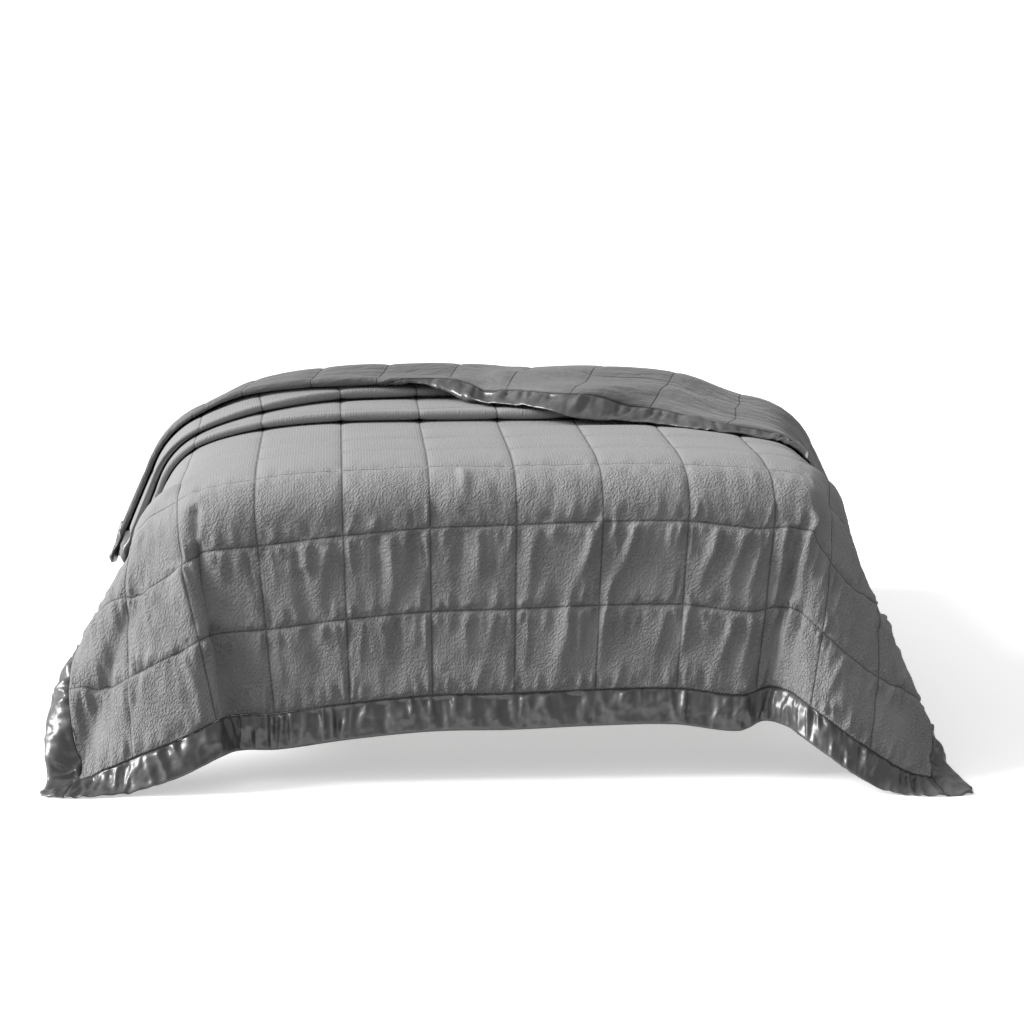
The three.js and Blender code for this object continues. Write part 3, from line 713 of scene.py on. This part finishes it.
def grey(value, warm=0.0):
    """A grey of a screen value from 0 to 255, a little warmer or cooler."""
    return (srgb(value + warm), srgb(value), srgb(value - warm), 1.0)


class Shader:
    """A material built from nodes, with short names for the sums that its patterns need."""

    def __init__(self, name):
        self.material = bpy.data.materials.new(name)
        self.material.use_nodes = True
        self.nodes = self.material.node_tree.nodes
        self.links = self.material.node_tree.links
        self.out = self.nodes["Principled BSDF"]

    def node(self, kind, **settings):
        made = self.nodes.new(kind)
        for key, value in settings.items():
            setattr(made, key, value)
        return made

    def join(self, value, socket):
        if isinstance(value, (int, float, tuple)):
            socket.default_value = value
        else:
            self.links.new(value, socket)

    def math(self, operation, *values):
        made = self.node("ShaderNodeMath", operation=operation)
        for value, socket in zip(values, made.inputs):
            self.join(value, socket)
        return made.outputs[0]

    def place(self):
        """The flat place on the cloth, as (s, t) in metres."""
        read = self.node("ShaderNodeAttribute", attribute_name="cloth")
        parts = self.node("ShaderNodeSeparateXYZ")
        self.links.new(read.outputs["Vector"], parts.inputs[0])
        return parts.outputs[0], parts.outputs[1]

    def vector(self, x, y, z=0.0):
        made = self.node("ShaderNodeCombineXYZ")
        for value, socket in zip((x, y, z), made.inputs):
            self.join(value, socket)
        return made.outputs[0]

    def grid(self, x, x_scale, y, y_scale):
        """A place on the cloth with each way scaled on its own."""
        return self.vector(self.math("MULTIPLY", x, x_scale), self.math("MULTIPLY", y, y_scale))

    def noise(self, vector, scale, detail=2.0, rough=0.5):
        made = self.node("ShaderNodeTexNoise")
        self.links.new(vector, made.inputs["Vector"])
        made.inputs["Scale"].default_value = scale
        made.inputs["Detail"].default_value = detail
        made.inputs["Roughness"].default_value = rough
        return made.outputs["Fac"]

    def ramp(self, value, low, high):
        """0 below low, 1 above high and a smooth run between."""
        made = self.node("ShaderNodeMapRange", interpolation_type="SMOOTHSTEP")
        self.join(value, made.inputs[0])
        made.inputs[1].default_value = low
        made.inputs[2].default_value = high
        return made.outputs[0]

    def colours(self, share, first, second):
        made = self.node("ShaderNodeMix", data_type="RGBA")
        self.join(share, made.inputs[0])
        self.join(first, made.inputs[6])
        self.join(second, made.inputs[7])
        return made.outputs[2]

    def bump(self, height, distance):
        made = self.node("ShaderNodeBump")
        made.inputs["Strength"].default_value = 1.0
        made.inputs["Distance"].default_value = distance
        self.join(height, made.inputs["Height"])
        return made.outputs[0]

    def seam_distance(self, along, start):
        """The distance in metres to the nearest stitched line."""
        cells = self.math("DIVIDE", self.math("SUBTRACT", along, start * MM), CELL * MM)
        off = self.math("SUBTRACT", cells, self.math("ROUND", cells))
        return self.math("MULTIPLY", self.math("ABSOLUTE", off), CELL * MM)

    def finish(self, colour, normal=None, **values):
        """Joins the colour and the normal, and sets the shader's own values."""
        self.join(colour, self.out.inputs["Base Color"])
        if normal is not None:
            self.links.new(normal, self.out.inputs["Normal"])
        for key, value in values.items():
            self.out.inputs[key.replace("_", " ")].default_value = value
        return self.material


# Patterns of the cloth, the bed's covers and its wood. Heights are in millimetres, lengths and the reliefs
# of the covers and the wood in metres, and greys go from 0 to 255. A pattern's size is the number of its
# bumps in a metre across and up.
RIB_PITCH = 0.006
RIB_HEIGHT = 0.27
RIB_BREAKS = (3.7, 70.0)
RIB_BREAK_RANGE = (0.35, 0.7)
COCKLES = (190.0, 140.0)
COCKLE_RANGE = (0.36, 0.66)
PATCHES = 8.0
PATCH_RANGE = (0.25, 0.65)
PATCH_LEAST = 0.3
LYING_SHARE = 0.2
COCKLE_SLANT = -0.35
COCKLE_HEIGHT = 2.8
TUCKS = (125.0, 16.0)
TUCK_REACH = 0.05
TUCK_HEIGHT = 2.6
HANGING_PART = (0.46, 0.66)
SEAM_LINE = (0.0004, 0.0032)
SEAM_DEPTH = 1.2
SEAM_GREY = 58
SEAM_TINT = 0.6
FACE_GREYS = (136, 143)
REVERSE_GREYS = (98, 106)
MATTRESS_GREY = 226
BASE_GREY = 212
# The satin's grey runs between these two with its crushed folds: the darker is painted shade in their
# hollows, the lighter is painted light on their crests.
SATIN_GREYS_WITH_PAINTED_SHADE = (54, 90)
SOFT_SPOTS = 260.0
SOFT_HEIGHT = 0.4
WRINKLES = (14.0, 46.0)
WRINKLE_SLANT = 0.6
WRINKLE_HEIGHT = 9.0
SATIN_WEAVE = 700.0
WEAVE_HEIGHT = 0.06
SATIN_CRUSH = 34.0
CRUSH_HEIGHT = 6.0
MATTRESS_WEAVE = 700.0
BASE_WEAVE = 520.0
COVER_DRIFT = 8.0
COVER_RELIEF = 0.0006
WOOD_GRAIN = (60.0, 60.0, 5.0)
WOOD_RELIEF = 0.0005
WOOD_DARK = (0.19, 0.105, 0.052, 1.0)
WOOD_LIGHT = (0.36, 0.22, 0.12, 1.0)


def stitched_lines(shader, s, t):
    """1 on the stitched lines and 0 away from them, and the distance to the lines across the cloth."""
    du = shader.seam_distance(s, -FIELD_HALF)
    dv = shader.seam_distance(t, BINDING_WIDTH)
    line = shader.math("SUBTRACT", 1.0, shader.ramp(shader.math("MINIMUM", du, dv), *SEAM_LINE))
    return line, dv


def seamed(shader, tone, line):
    """A tone with the stitched lines darkened."""
    return shader.colours(shader.math("MULTIPLY", line, SEAM_TINT), tone, grey(SEAM_GREY))


def seersucker():
    """Fine broken ribs up the cloth, a crepe of small cockles in patches, and puckers at the seams."""
    shader = Shader("seersucker")
    s, t = shader.place()
    wave = shader.math("SINE", shader.math("MULTIPLY", s, 2 * math.pi / RIB_PITCH))
    stripe = shader.math("FLOOR", shader.math("DIVIDE", s, RIB_PITCH))
    broken = shader.noise(shader.grid(stripe, RIB_BREAKS[0], t, RIB_BREAKS[1]), 1.0, 1.0)
    rib = shader.math("MULTIPLY", shader.math("ADD", wave, 1.0), shader.ramp(broken, *RIB_BREAK_RANGE))
    hanging = shader.math("SUBTRACT", 1.0, shader.ramp(t, *HANGING_PART))
    slanted = shader.math("ADD", s, shader.math("MULTIPLY", t, COCKLE_SLANT))
    cockle = shader.noise(shader.grid(slanted, COCKLES[0], t, COCKLES[1]), 1.0, 2.0, 0.6)
    cockle = shader.ramp(cockle, *COCKLE_RANGE)
    patch = shader.ramp(shader.noise(shader.grid(s, 1.0, t, 1.0), PATCHES, 2.0), *PATCH_RANGE)
    patch = shader.math("ADD", shader.math("MULTIPLY", patch, 1 - PATCH_LEAST), PATCH_LEAST)
    part = shader.math("ADD", shader.math("MULTIPLY", hanging, 1 - LYING_SHARE), LYING_SHARE)
    cockles = shader.math("MULTIPLY", cockle, shader.math("MULTIPLY", patch, part))
    line, dv = stitched_lines(shader, s, t)
    tuck = shader.noise(shader.grid(slanted, TUCKS[0], t, TUCKS[1]), 1.0, 2.0, 0.5)
    near = shader.math("SUBTRACT", 1.0, shader.ramp(dv, 0.0, TUCK_REACH))
    tucks = shader.math("MULTIPLY", tuck, shader.math("MULTIPLY", near, shader.math("ADD", hanging, 0.15)))
    height = shader.math("MULTIPLY", rib, RIB_HEIGHT)
    height = shader.math("ADD", height, shader.math("MULTIPLY", cockles, COCKLE_HEIGHT))
    height = shader.math("ADD", height, shader.math("MULTIPLY", tucks, TUCK_HEIGHT))
    height = shader.math("SUBTRACT", height, shader.math("MULTIPLY", line, SEAM_DEPTH))
    tone = seamed(shader, shader.colours(broken, *map(grey, FACE_GREYS)), line)
    normal = shader.bump(height, MM)
    return shader.finish(tone, normal, Roughness=0.85, Sheen_Weight=0.12, Sheen_Roughness=0.4)


def reverse_cloth():
    """The plain back of the blanket, a little darker, with fine wrinkles."""
    shader = Shader("plain_reverse")
    s, t = shader.place()
    soft = shader.noise(shader.grid(s, 1.0, t, 1.0), SOFT_SPOTS, 3.0, 0.6)
    slanted = shader.math("ADD", s, shader.math("MULTIPLY", t, WRINKLE_SLANT))
    wrinkle = shader.noise(shader.grid(slanted, WRINKLES[0], t, WRINKLES[1]), 1.0, 3.0, 0.6)
    line, _ = stitched_lines(shader, s, t)
    height = shader.math("MULTIPLY", soft, SOFT_HEIGHT)
    height = shader.math("ADD", height, shader.math("MULTIPLY", wrinkle, WRINKLE_HEIGHT))
    height = shader.math("SUBTRACT", height, shader.math("MULTIPLY", line, SEAM_DEPTH))
    tone = seamed(shader, shader.colours(soft, *map(grey, REVERSE_GREYS)), line)
    normal = shader.bump(height, MM)
    return shader.finish(tone, normal, Roughness=0.7, Sheen_Weight=0.15, Sheen_Roughness=0.4)


def satin():
    """Glossy cloth with a fine weave, softly crushed, with painted shade: its grey is darker in the hollows
    of the crushed folds and lighter on their crests.
    """
    shader = Shader("satin")
    s, t = shader.place()
    weave = shader.noise(shader.grid(s, 1.0, t, 1.0), SATIN_WEAVE, 1.0)
    crush_and_painted_shade = shader.noise(shader.grid(s, 1.0, t, 1.0), SATIN_CRUSH, 1.0, 0.4)
    height = shader.math("MULTIPLY", weave, WEAVE_HEIGHT)
    height = shader.math("ADD", height, shader.math("MULTIPLY", crush_and_painted_shade, CRUSH_HEIGHT))
    # Painted shade: the satin's grey follows its crushed folds, darker in their hollows and lighter on their
    # crests.
    tone = shader.colours(crush_and_painted_shade, *map(grey, SATIN_GREYS_WITH_PAINTED_SHADE))
    return shader.finish(tone, shader.bump(height, MM), Roughness=0.36, Specular_IOR_Level=0.9)


def knit(name, value, scale):
    """A pale knit or woven cover of the bed."""
    shader = Shader(name)
    spot = shader.node("ShaderNodeTexCoord").outputs["Object"]
    weave = shader.noise(spot, scale, 2.0)
    drift = shader.noise(spot, COVER_DRIFT, 3.0)
    tone = shader.colours(drift, grey(value - 4, 3), grey(value + 4, 3))
    normal = shader.bump(weave, COVER_RELIEF)
    return shader.finish(tone, normal, Roughness=0.9, Sheen_Weight=0.2, Sheen_Roughness=0.5)


def leg_wood():
    shader = Shader("leg_wood")
    spot = shader.node("ShaderNodeTexCoord").outputs["Object"]
    stretch = shader.node("ShaderNodeMapping")
    shader.links.new(spot, stretch.inputs["Vector"])
    stretch.inputs["Scale"].default_value = WOOD_GRAIN
    grain = shader.noise(stretch.outputs[0], 1.0, 6.0, 0.6)
    tone = shader.colours(grain, WOOD_DARK, WOOD_LIGHT)
    return shader.finish(tone, shader.bump(grain, WOOD_RELIEF), Roughness=0.5)


SEERSUCKER = seersucker()
REVERSE = reverse_cloth()
SATIN = satin()
MATTRESS_KNIT = knit("mattress_knit", MATTRESS_GREY, MATTRESS_WEAVE)
BASE_CLOTH = knit("base_cloth", BASE_GREY, BASE_WEAVE)
LEG_WOOD = leg_wood()


# The quilted field
def quilted_field():
    """The quilted cloth between its four bindings."""
    across = (clustered(CELLS_ACROSS, COLUMN_STEPS, PULL) - CELLS_ACROSS / 2) * CELL
    across[0] += SEAM_GAP / 2
    across[-1] -= SEAM_GAP / 2
    t = field_rows(across)
    s = np.broadcast_to(across, t.shape)
    half = quilt_half(s, t)
    stand = relief(s, t)
    faces = [SEERSUCKER, REVERSE]
    return slab("quilted_cloth", s, t, half + stand, half - stand, faces, coarse=BACK_COARSE)


# The satin bindings: face and back wrap the quilt's cut edge, ruched along their seam. A place called edge
# is 0 at the seam and 1 at the outer fold. Gathers are given by their width along it and their height.
BINDING_STEP = 3.5
BINDING_ROWS = 14
BINDING_END_STEPS = 14
BINDING_SEAM_HALF = 0.5
FOLD_ROUND = 0.14
FOLD_EDGE_SHARE = 0.3
PINNED = 0.12
HELD_FROM = 0.55
HELD_LENGTH = 0.45
HELD_SHARE = 0.65
CLOSE_FADE = 0.7
BINDING_RELIEF = 0.8
EDGE_PULL = 0.12
CLOSE_GATHERS = (8, 2.2)
BROAD_GATHERS = (24, 6.4)
WIDE_GATHERS = (60, 5.0)
GATHER_SLIDE = 22
BINDING_SEEDS = {"foot": 21, "head": 31, "left": 41, "right": 51}


def binding_half(edge):
    """Half the thickness, which is less at the seam and rounded at the outer fold."""
    rounded = np.sqrt(np.maximum(0, 1 - ((edge - 1 + FOLD_ROUND) / FOLD_ROUND).clip(0, 1) ** 2))
    full = mix(BINDING_SEAM_HALF, BINDING_HALF_THICKNESS, smooth(2 * edge))
    return full * mix(FOLD_EDGE_SHARE, 1, rounded)


def ruche(along, edge, seed):
    """The gathers of a binding: small and close at the seam, broader towards the outer fold."""
    slide = GATHER_SLIDE * edge * lattice_noise(along / WIDE_GATHERS[0], edge * 0 + 0.5, seed + 1)
    along = along + slide
    close = CLOSE_GATHERS[1] * lattice_noise(along / CLOSE_GATHERS[0], edge * 1.2, seed)
    ridged = 1 - 2 * np.abs(lattice_noise(along / BROAD_GATHERS[0], edge * 0.9, seed + 2))
    wide = WIDE_GATHERS[1] * lattice_noise(along / WIDE_GATHERS[0], edge * 0.7, seed + 3)
    held = smooth(edge / PINNED) * (1 - HELD_SHARE * smooth((edge - HELD_FROM) / HELD_LENGTH))
    return held * ((1 - CLOSE_FADE * edge) * close + BROAD_GATHERS[1] * ridged + wide)


def binding_edge_places():
    """Shares across a binding, closer together at its two edges."""
    u = np.linspace(0, 1, BINDING_ROWS + 1)
    return u - EDGE_PULL * np.sin(2 * np.pi * u) / np.pi


def make_binding(name, s, t, edge, along, seed):
    """A binding over a grid of flat places, along being the distance down its length."""
    half = binding_half(edge)
    stand = relief(s, t) * mix(1.0, BINDING_RELIEF, smooth(3 * edge)) + ruche(along, edge, seed)
    return slab(name, s, t, half + stand, half - stand, [SATIN, SATIN])


def end_binding(end):
    """The binding across the foot or the head end, between the side bindings."""
    half = FIELD_HALF - SEAM_GAP / 2
    across = np.linspace(-half, half, int(2 * FIELD_HALF / BINDING_STEP))
    edge = binding_edge_places()
    along = (BINDING_WIDTH - SEAM_GAP / 2) * (1 - edge)
    if end == "foot":
        along, edge = along[::-1], edge[::-1]
    else:
        along = BLANKET_LENGTH - along
    s, t = np.meshgrid(across, along)
    edges = np.broadcast_to(edge[:, None], s.shape)
    return make_binding(f"binding_{end}_satin", s, t, edges, s, BINDING_SEEDS[end])


def side_binding(side):
    """The binding down the whole of the left side for -1, or of the right side for 1."""
    inner = FIELD_HALF + SEAM_GAP / 2
    edge = binding_edge_places()
    across = side * mix(inner, HALF_WIDTH, edge)
    if side < 0:
        across, edge = across[::-1], edge[::-1]
    field = field_rows(across)
    foot = np.linspace(0, BINDING_WIDTH - SEAM_GAP / 2, BINDING_END_STEPS)
    head = np.linspace(BLANKET_LENGTH - BINDING_WIDTH + SEAM_GAP / 2, BLANKET_LENGTH, BINDING_END_STEPS)
    spread = np.ones(len(across))
    t = np.concatenate([foot[:, None] * spread, field, head[:, None] * spread])
    s = np.broadcast_to(across, t.shape)
    edges = np.broadcast_to(edge, t.shape)
    word = "left" if side < 0 else "right"
    return make_binding(f"binding_{word}_satin", s, t, edges, t, BINDING_SEEDS[word])


# The bed
MATTRESS_SIDE_CROWN = 113.6
MATTRESS_END_CROWN = 60.0
END_CROWN_LENGTH = 190.0
CORNER_RADIUS = 80.0
RIM = 12.0
MATTRESS_STEPS = (72, 96)
MATTRESS_SIDE_POWER = 5
MATTRESS_END_POWER = 3
BASE_ROUND = 0.014
LEG_ROUND = 0.003


def mattress():
    """A soft closed form, crowned towards its edges, with rounded rims and a flat underside."""
    (x0, y0, z0), (x1, y1, z1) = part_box("mattress")
    half, length = (x1 - x0) / 2 / MM, (y1 - y0) / MM
    depth = (z1 - z0) / MM
    across, along = MATTRESS_STEPS
    u = np.sin(np.linspace(-1, 1, across + 1) * np.pi / 2)
    v = (np.sin(np.linspace(-1, 1, along + 1) * np.pi / 2) + 1) / 2
    uu, vv = np.meshgrid(u, v)
    from_end = np.minimum(vv, 1 - vv) * length
    inset = CORNER_RADIUS - np.sqrt(CORNER_RADIUS**2 - np.maximum(0, CORNER_RADIUS - from_end) ** 2)
    x = uu * (half - inset)
    y = vv * length
    side = np.abs(uu) ** MATTRESS_SIDE_POWER
    end = np.clip(1 - from_end / END_CROWN_LENGTH, 0, 1) ** MATTRESS_END_POWER
    crown = MATTRESS_SIDE_CROWN * side + MATTRESS_END_CROWN * end * (1 - side)
    rim = np.minimum(from_end, half - np.abs(x)).clip(0, RIM)
    rounded = RIM - np.sqrt(RIM**2 - (RIM - rim) ** 2)
    top = np.stack([x, y, depth - crown - rounded], -1)
    underside = np.stack([x, y, rounded], -1)
    points = np.concatenate([top.reshape(-1, 3), underside.reshape(-1, 3)])
    rows, wide = x.shape
    count = rows * wide
    faces = grid_faces(rows, wide, 0, False) + grid_faces(rows, wide, count, True)
    upper, lower = ring(rows, wide, 0), ring(rows, wide, count)
    for k in range(len(upper)):
        n = (k + 1) % len(upper)
        faces.append([upper[n], upper[k], lower[k], lower[n]])
    points = points * MM + np.array([(x0 + x1) / 2, y0, z0])
    return new_mesh("mattress_body", points, faces, [MATTRESS_KNIT])


def rounded_box(name, node, radius, material):
    """A box with rounded edges, as large as a solid of the part."""
    (x0, y0, z0), (x1, y1, z1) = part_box(node)
    made = bmesh.new()
    bmesh.ops.create_cube(made, size=1.0)
    for vertex in made.verts:
        vertex.co = (
            mix(x0, x1, vertex.co.x + 0.5),
            mix(y0, y1, vertex.co.y + 0.5),
            mix(z0, z1, vertex.co.z + 0.5),
        )
    bmesh.ops.bevel(made, geom=made.edges[:], offset=radius, segments=4, profile=0.5, affect="EDGES")
    mesh = bpy.data.meshes.new(name)
    made.to_mesh(mesh)
    made.free()
    mesh.materials.append(material)
    mesh.polygons.foreach_set("use_smooth", np.ones(len(mesh.polygons), bool))
    piece = bpy.data.objects.new(name, mesh)
    bpy.context.scene.collection.objects.link(piece)
    return piece


field = quilted_field()
bindings = {
    "binding_foot": end_binding("foot"),
    "binding_head": end_binding("head"),
    "binding_left": side_binding(-1),
    "binding_right": side_binding(1),
}
pad = mattress()
base = rounded_box("base_body", "bed_base", BASE_ROUND, BASE_CLOTH)
legs = [f"leg_{end}_{side}" for end in ("foot", "head") for side in ("left", "right")]
leg_pieces = {leg: rounded_box(leg + "_turned", leg, LEG_ROUND, LEG_WOOD) for leg in legs}

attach(field, "root")
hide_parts("quilted_field")
for node, piece in bindings.items():
    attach(piece, "root")
    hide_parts(node)
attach(pad, "root")
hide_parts("mattress")
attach(base, "root")
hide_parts("bed_base")
for leg, piece in leg_pieces.items():
    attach(piece, "root")
    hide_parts(leg)

# Floor, light and camera
FLOOR_SIZE = 1200.0
FLOOR_GAP = 0.0005
FLOOR_GREY = 236
FLOOR_GLOW = 0.45
WHITE = (1.0, 1.0, 1.0, 1.0)
floor_mesh = bpy.data.meshes.new("floor")
edge = FLOOR_SIZE / 2
corners = [(-edge, -edge, 0), (edge, -edge, 0), (edge, edge, 0), (-edge, edge, 0)]
floor_mesh.from_pydata(corners, [], [(0, 1, 2, 3)])
floor = bpy.data.objects.new("floor", floor_mesh)
bpy.context.scene.collection.objects.link(floor)
floor.location.z = -FLOOR_GAP
floor.visible_diffuse = False
floor_look = Shader("pale_floor")
floor_look.out.inputs["Emission Color"].default_value = WHITE
floor_mesh.materials.append(floor_look.finish(grey(FLOOR_GREY), Roughness=0.9, Emission_Strength=FLOOR_GLOW))


UPPER_LIGHT = 0.30
LEFT_LIGHT = 0.7
LOWER_LIGHT = 0.16
UPPER_RANGE = (-0.15, 0.35)
LEFT_FROM_X = -0.85
LEFT_FROM_Z = 0.4
LEFT_RANGE = (0.25, 0.9)
LEVEL_RANGE = (0.04, 0.1)
BEHIND_RANGE = (0.9, 0.98)


def studio_world():
    """White light from all round, stronger from above, from the left and from level behind the bed."""
    world = bpy.data.worlds.new("studio")
    bpy.context.scene.world = world
    world.use_nodes = True
    tree = world.node_tree
    links = tree.links

    def sums(operation, *values):
        made = tree.nodes.new("ShaderNodeMath")
        made.operation = operation
        for value, socket in zip(values, made.inputs):
            if isinstance(value, float):
                socket.default_value = value
            else:
                links.new(value, socket)
        return made.outputs[0]

    def ramp(value, low, high):
        made = tree.nodes.new("ShaderNodeMapRange")
        links.new(value, made.inputs[0])
        made.inputs[1].default_value = low
        made.inputs[2].default_value = high
        return made.outputs[0]

    parts = tree.nodes.new("ShaderNodeSeparateXYZ")
    links.new(tree.nodes.new("ShaderNodeTexCoord").outputs["Generated"], parts.inputs[0])
    x, y, z = parts.outputs
    upper = sums("MULTIPLY", ramp(z, *UPPER_RANGE), UPPER_LIGHT)
    towards = sums("ADD", sums("MULTIPLY", x, LEFT_FROM_X), sums("MULTIPLY", z, LEFT_FROM_Z))
    left = sums("MULTIPLY", ramp(towards, *LEFT_RANGE), LEFT_LIGHT)
    level = sums("SUBTRACT", 1.0, ramp(sums("ABSOLUTE", z), *LEVEL_RANGE))
    behind = sums("MULTIPLY", ramp(y, *BEHIND_RANGE), level)
    strength = sums("ADD", sums("ADD", upper, left), sums("ADD", behind, LOWER_LIGHT))
    background = tree.nodes["Background"]
    background.inputs[0].default_value = WHITE
    links.new(strength, background.inputs[1])


def sun(name, towards, strength, angle):
    """A distant lamp that stands in a direction; its angle in degrees softens its shadows."""
    lamp = bpy.data.lights.new(name, "SUN")
    lamp.energy = strength
    lamp.angle = math.radians(angle)
    piece = bpy.data.objects.new(name, lamp)
    bpy.context.scene.collection.objects.link(piece)
    piece.rotation_euler = (-Vector(towards)).to_track_quat("-Z", "Y").to_euler()


KEY_FROM = (-0.86, 0.06, 0.50)
KEY_LIGHT = 4.6
KEY_ANGLE = 26.0
studio_world()
sun("key", KEY_FROM, KEY_LIGHT, KEY_ANGLE)
bpy.context.scene.view_settings.view_transform = "Standard"

# The camera stands at a point of the bed in millimetres, and its angles are in radians
CAMERA_BED = (-361.2, -5726.6, 862.5)
CAMERA_YAW = 0.0623
CAMERA_PITCH = 0.1679
FOCAL_PIXELS = 2800.0
IMAGE_PIXELS = 1024.0
SENSOR = 36.0
lens = bpy.data.cameras.new("camera")
lens.sensor_width = SENSOR
lens.lens = FOCAL_PIXELS / IMAGE_PIXELS * SENSOR
lens.clip_end = 100.0
camera = bpy.data.objects.new("camera", lens)
bpy.context.scene.collection.objects.link(camera)
camera.location = to_part(CAMERA_BED)
camera.rotation_euler = (math.pi / 2 - CAMERA_PITCH, 0.0, -CAMERA_YAW)
bpy.context.scene.camera = camera
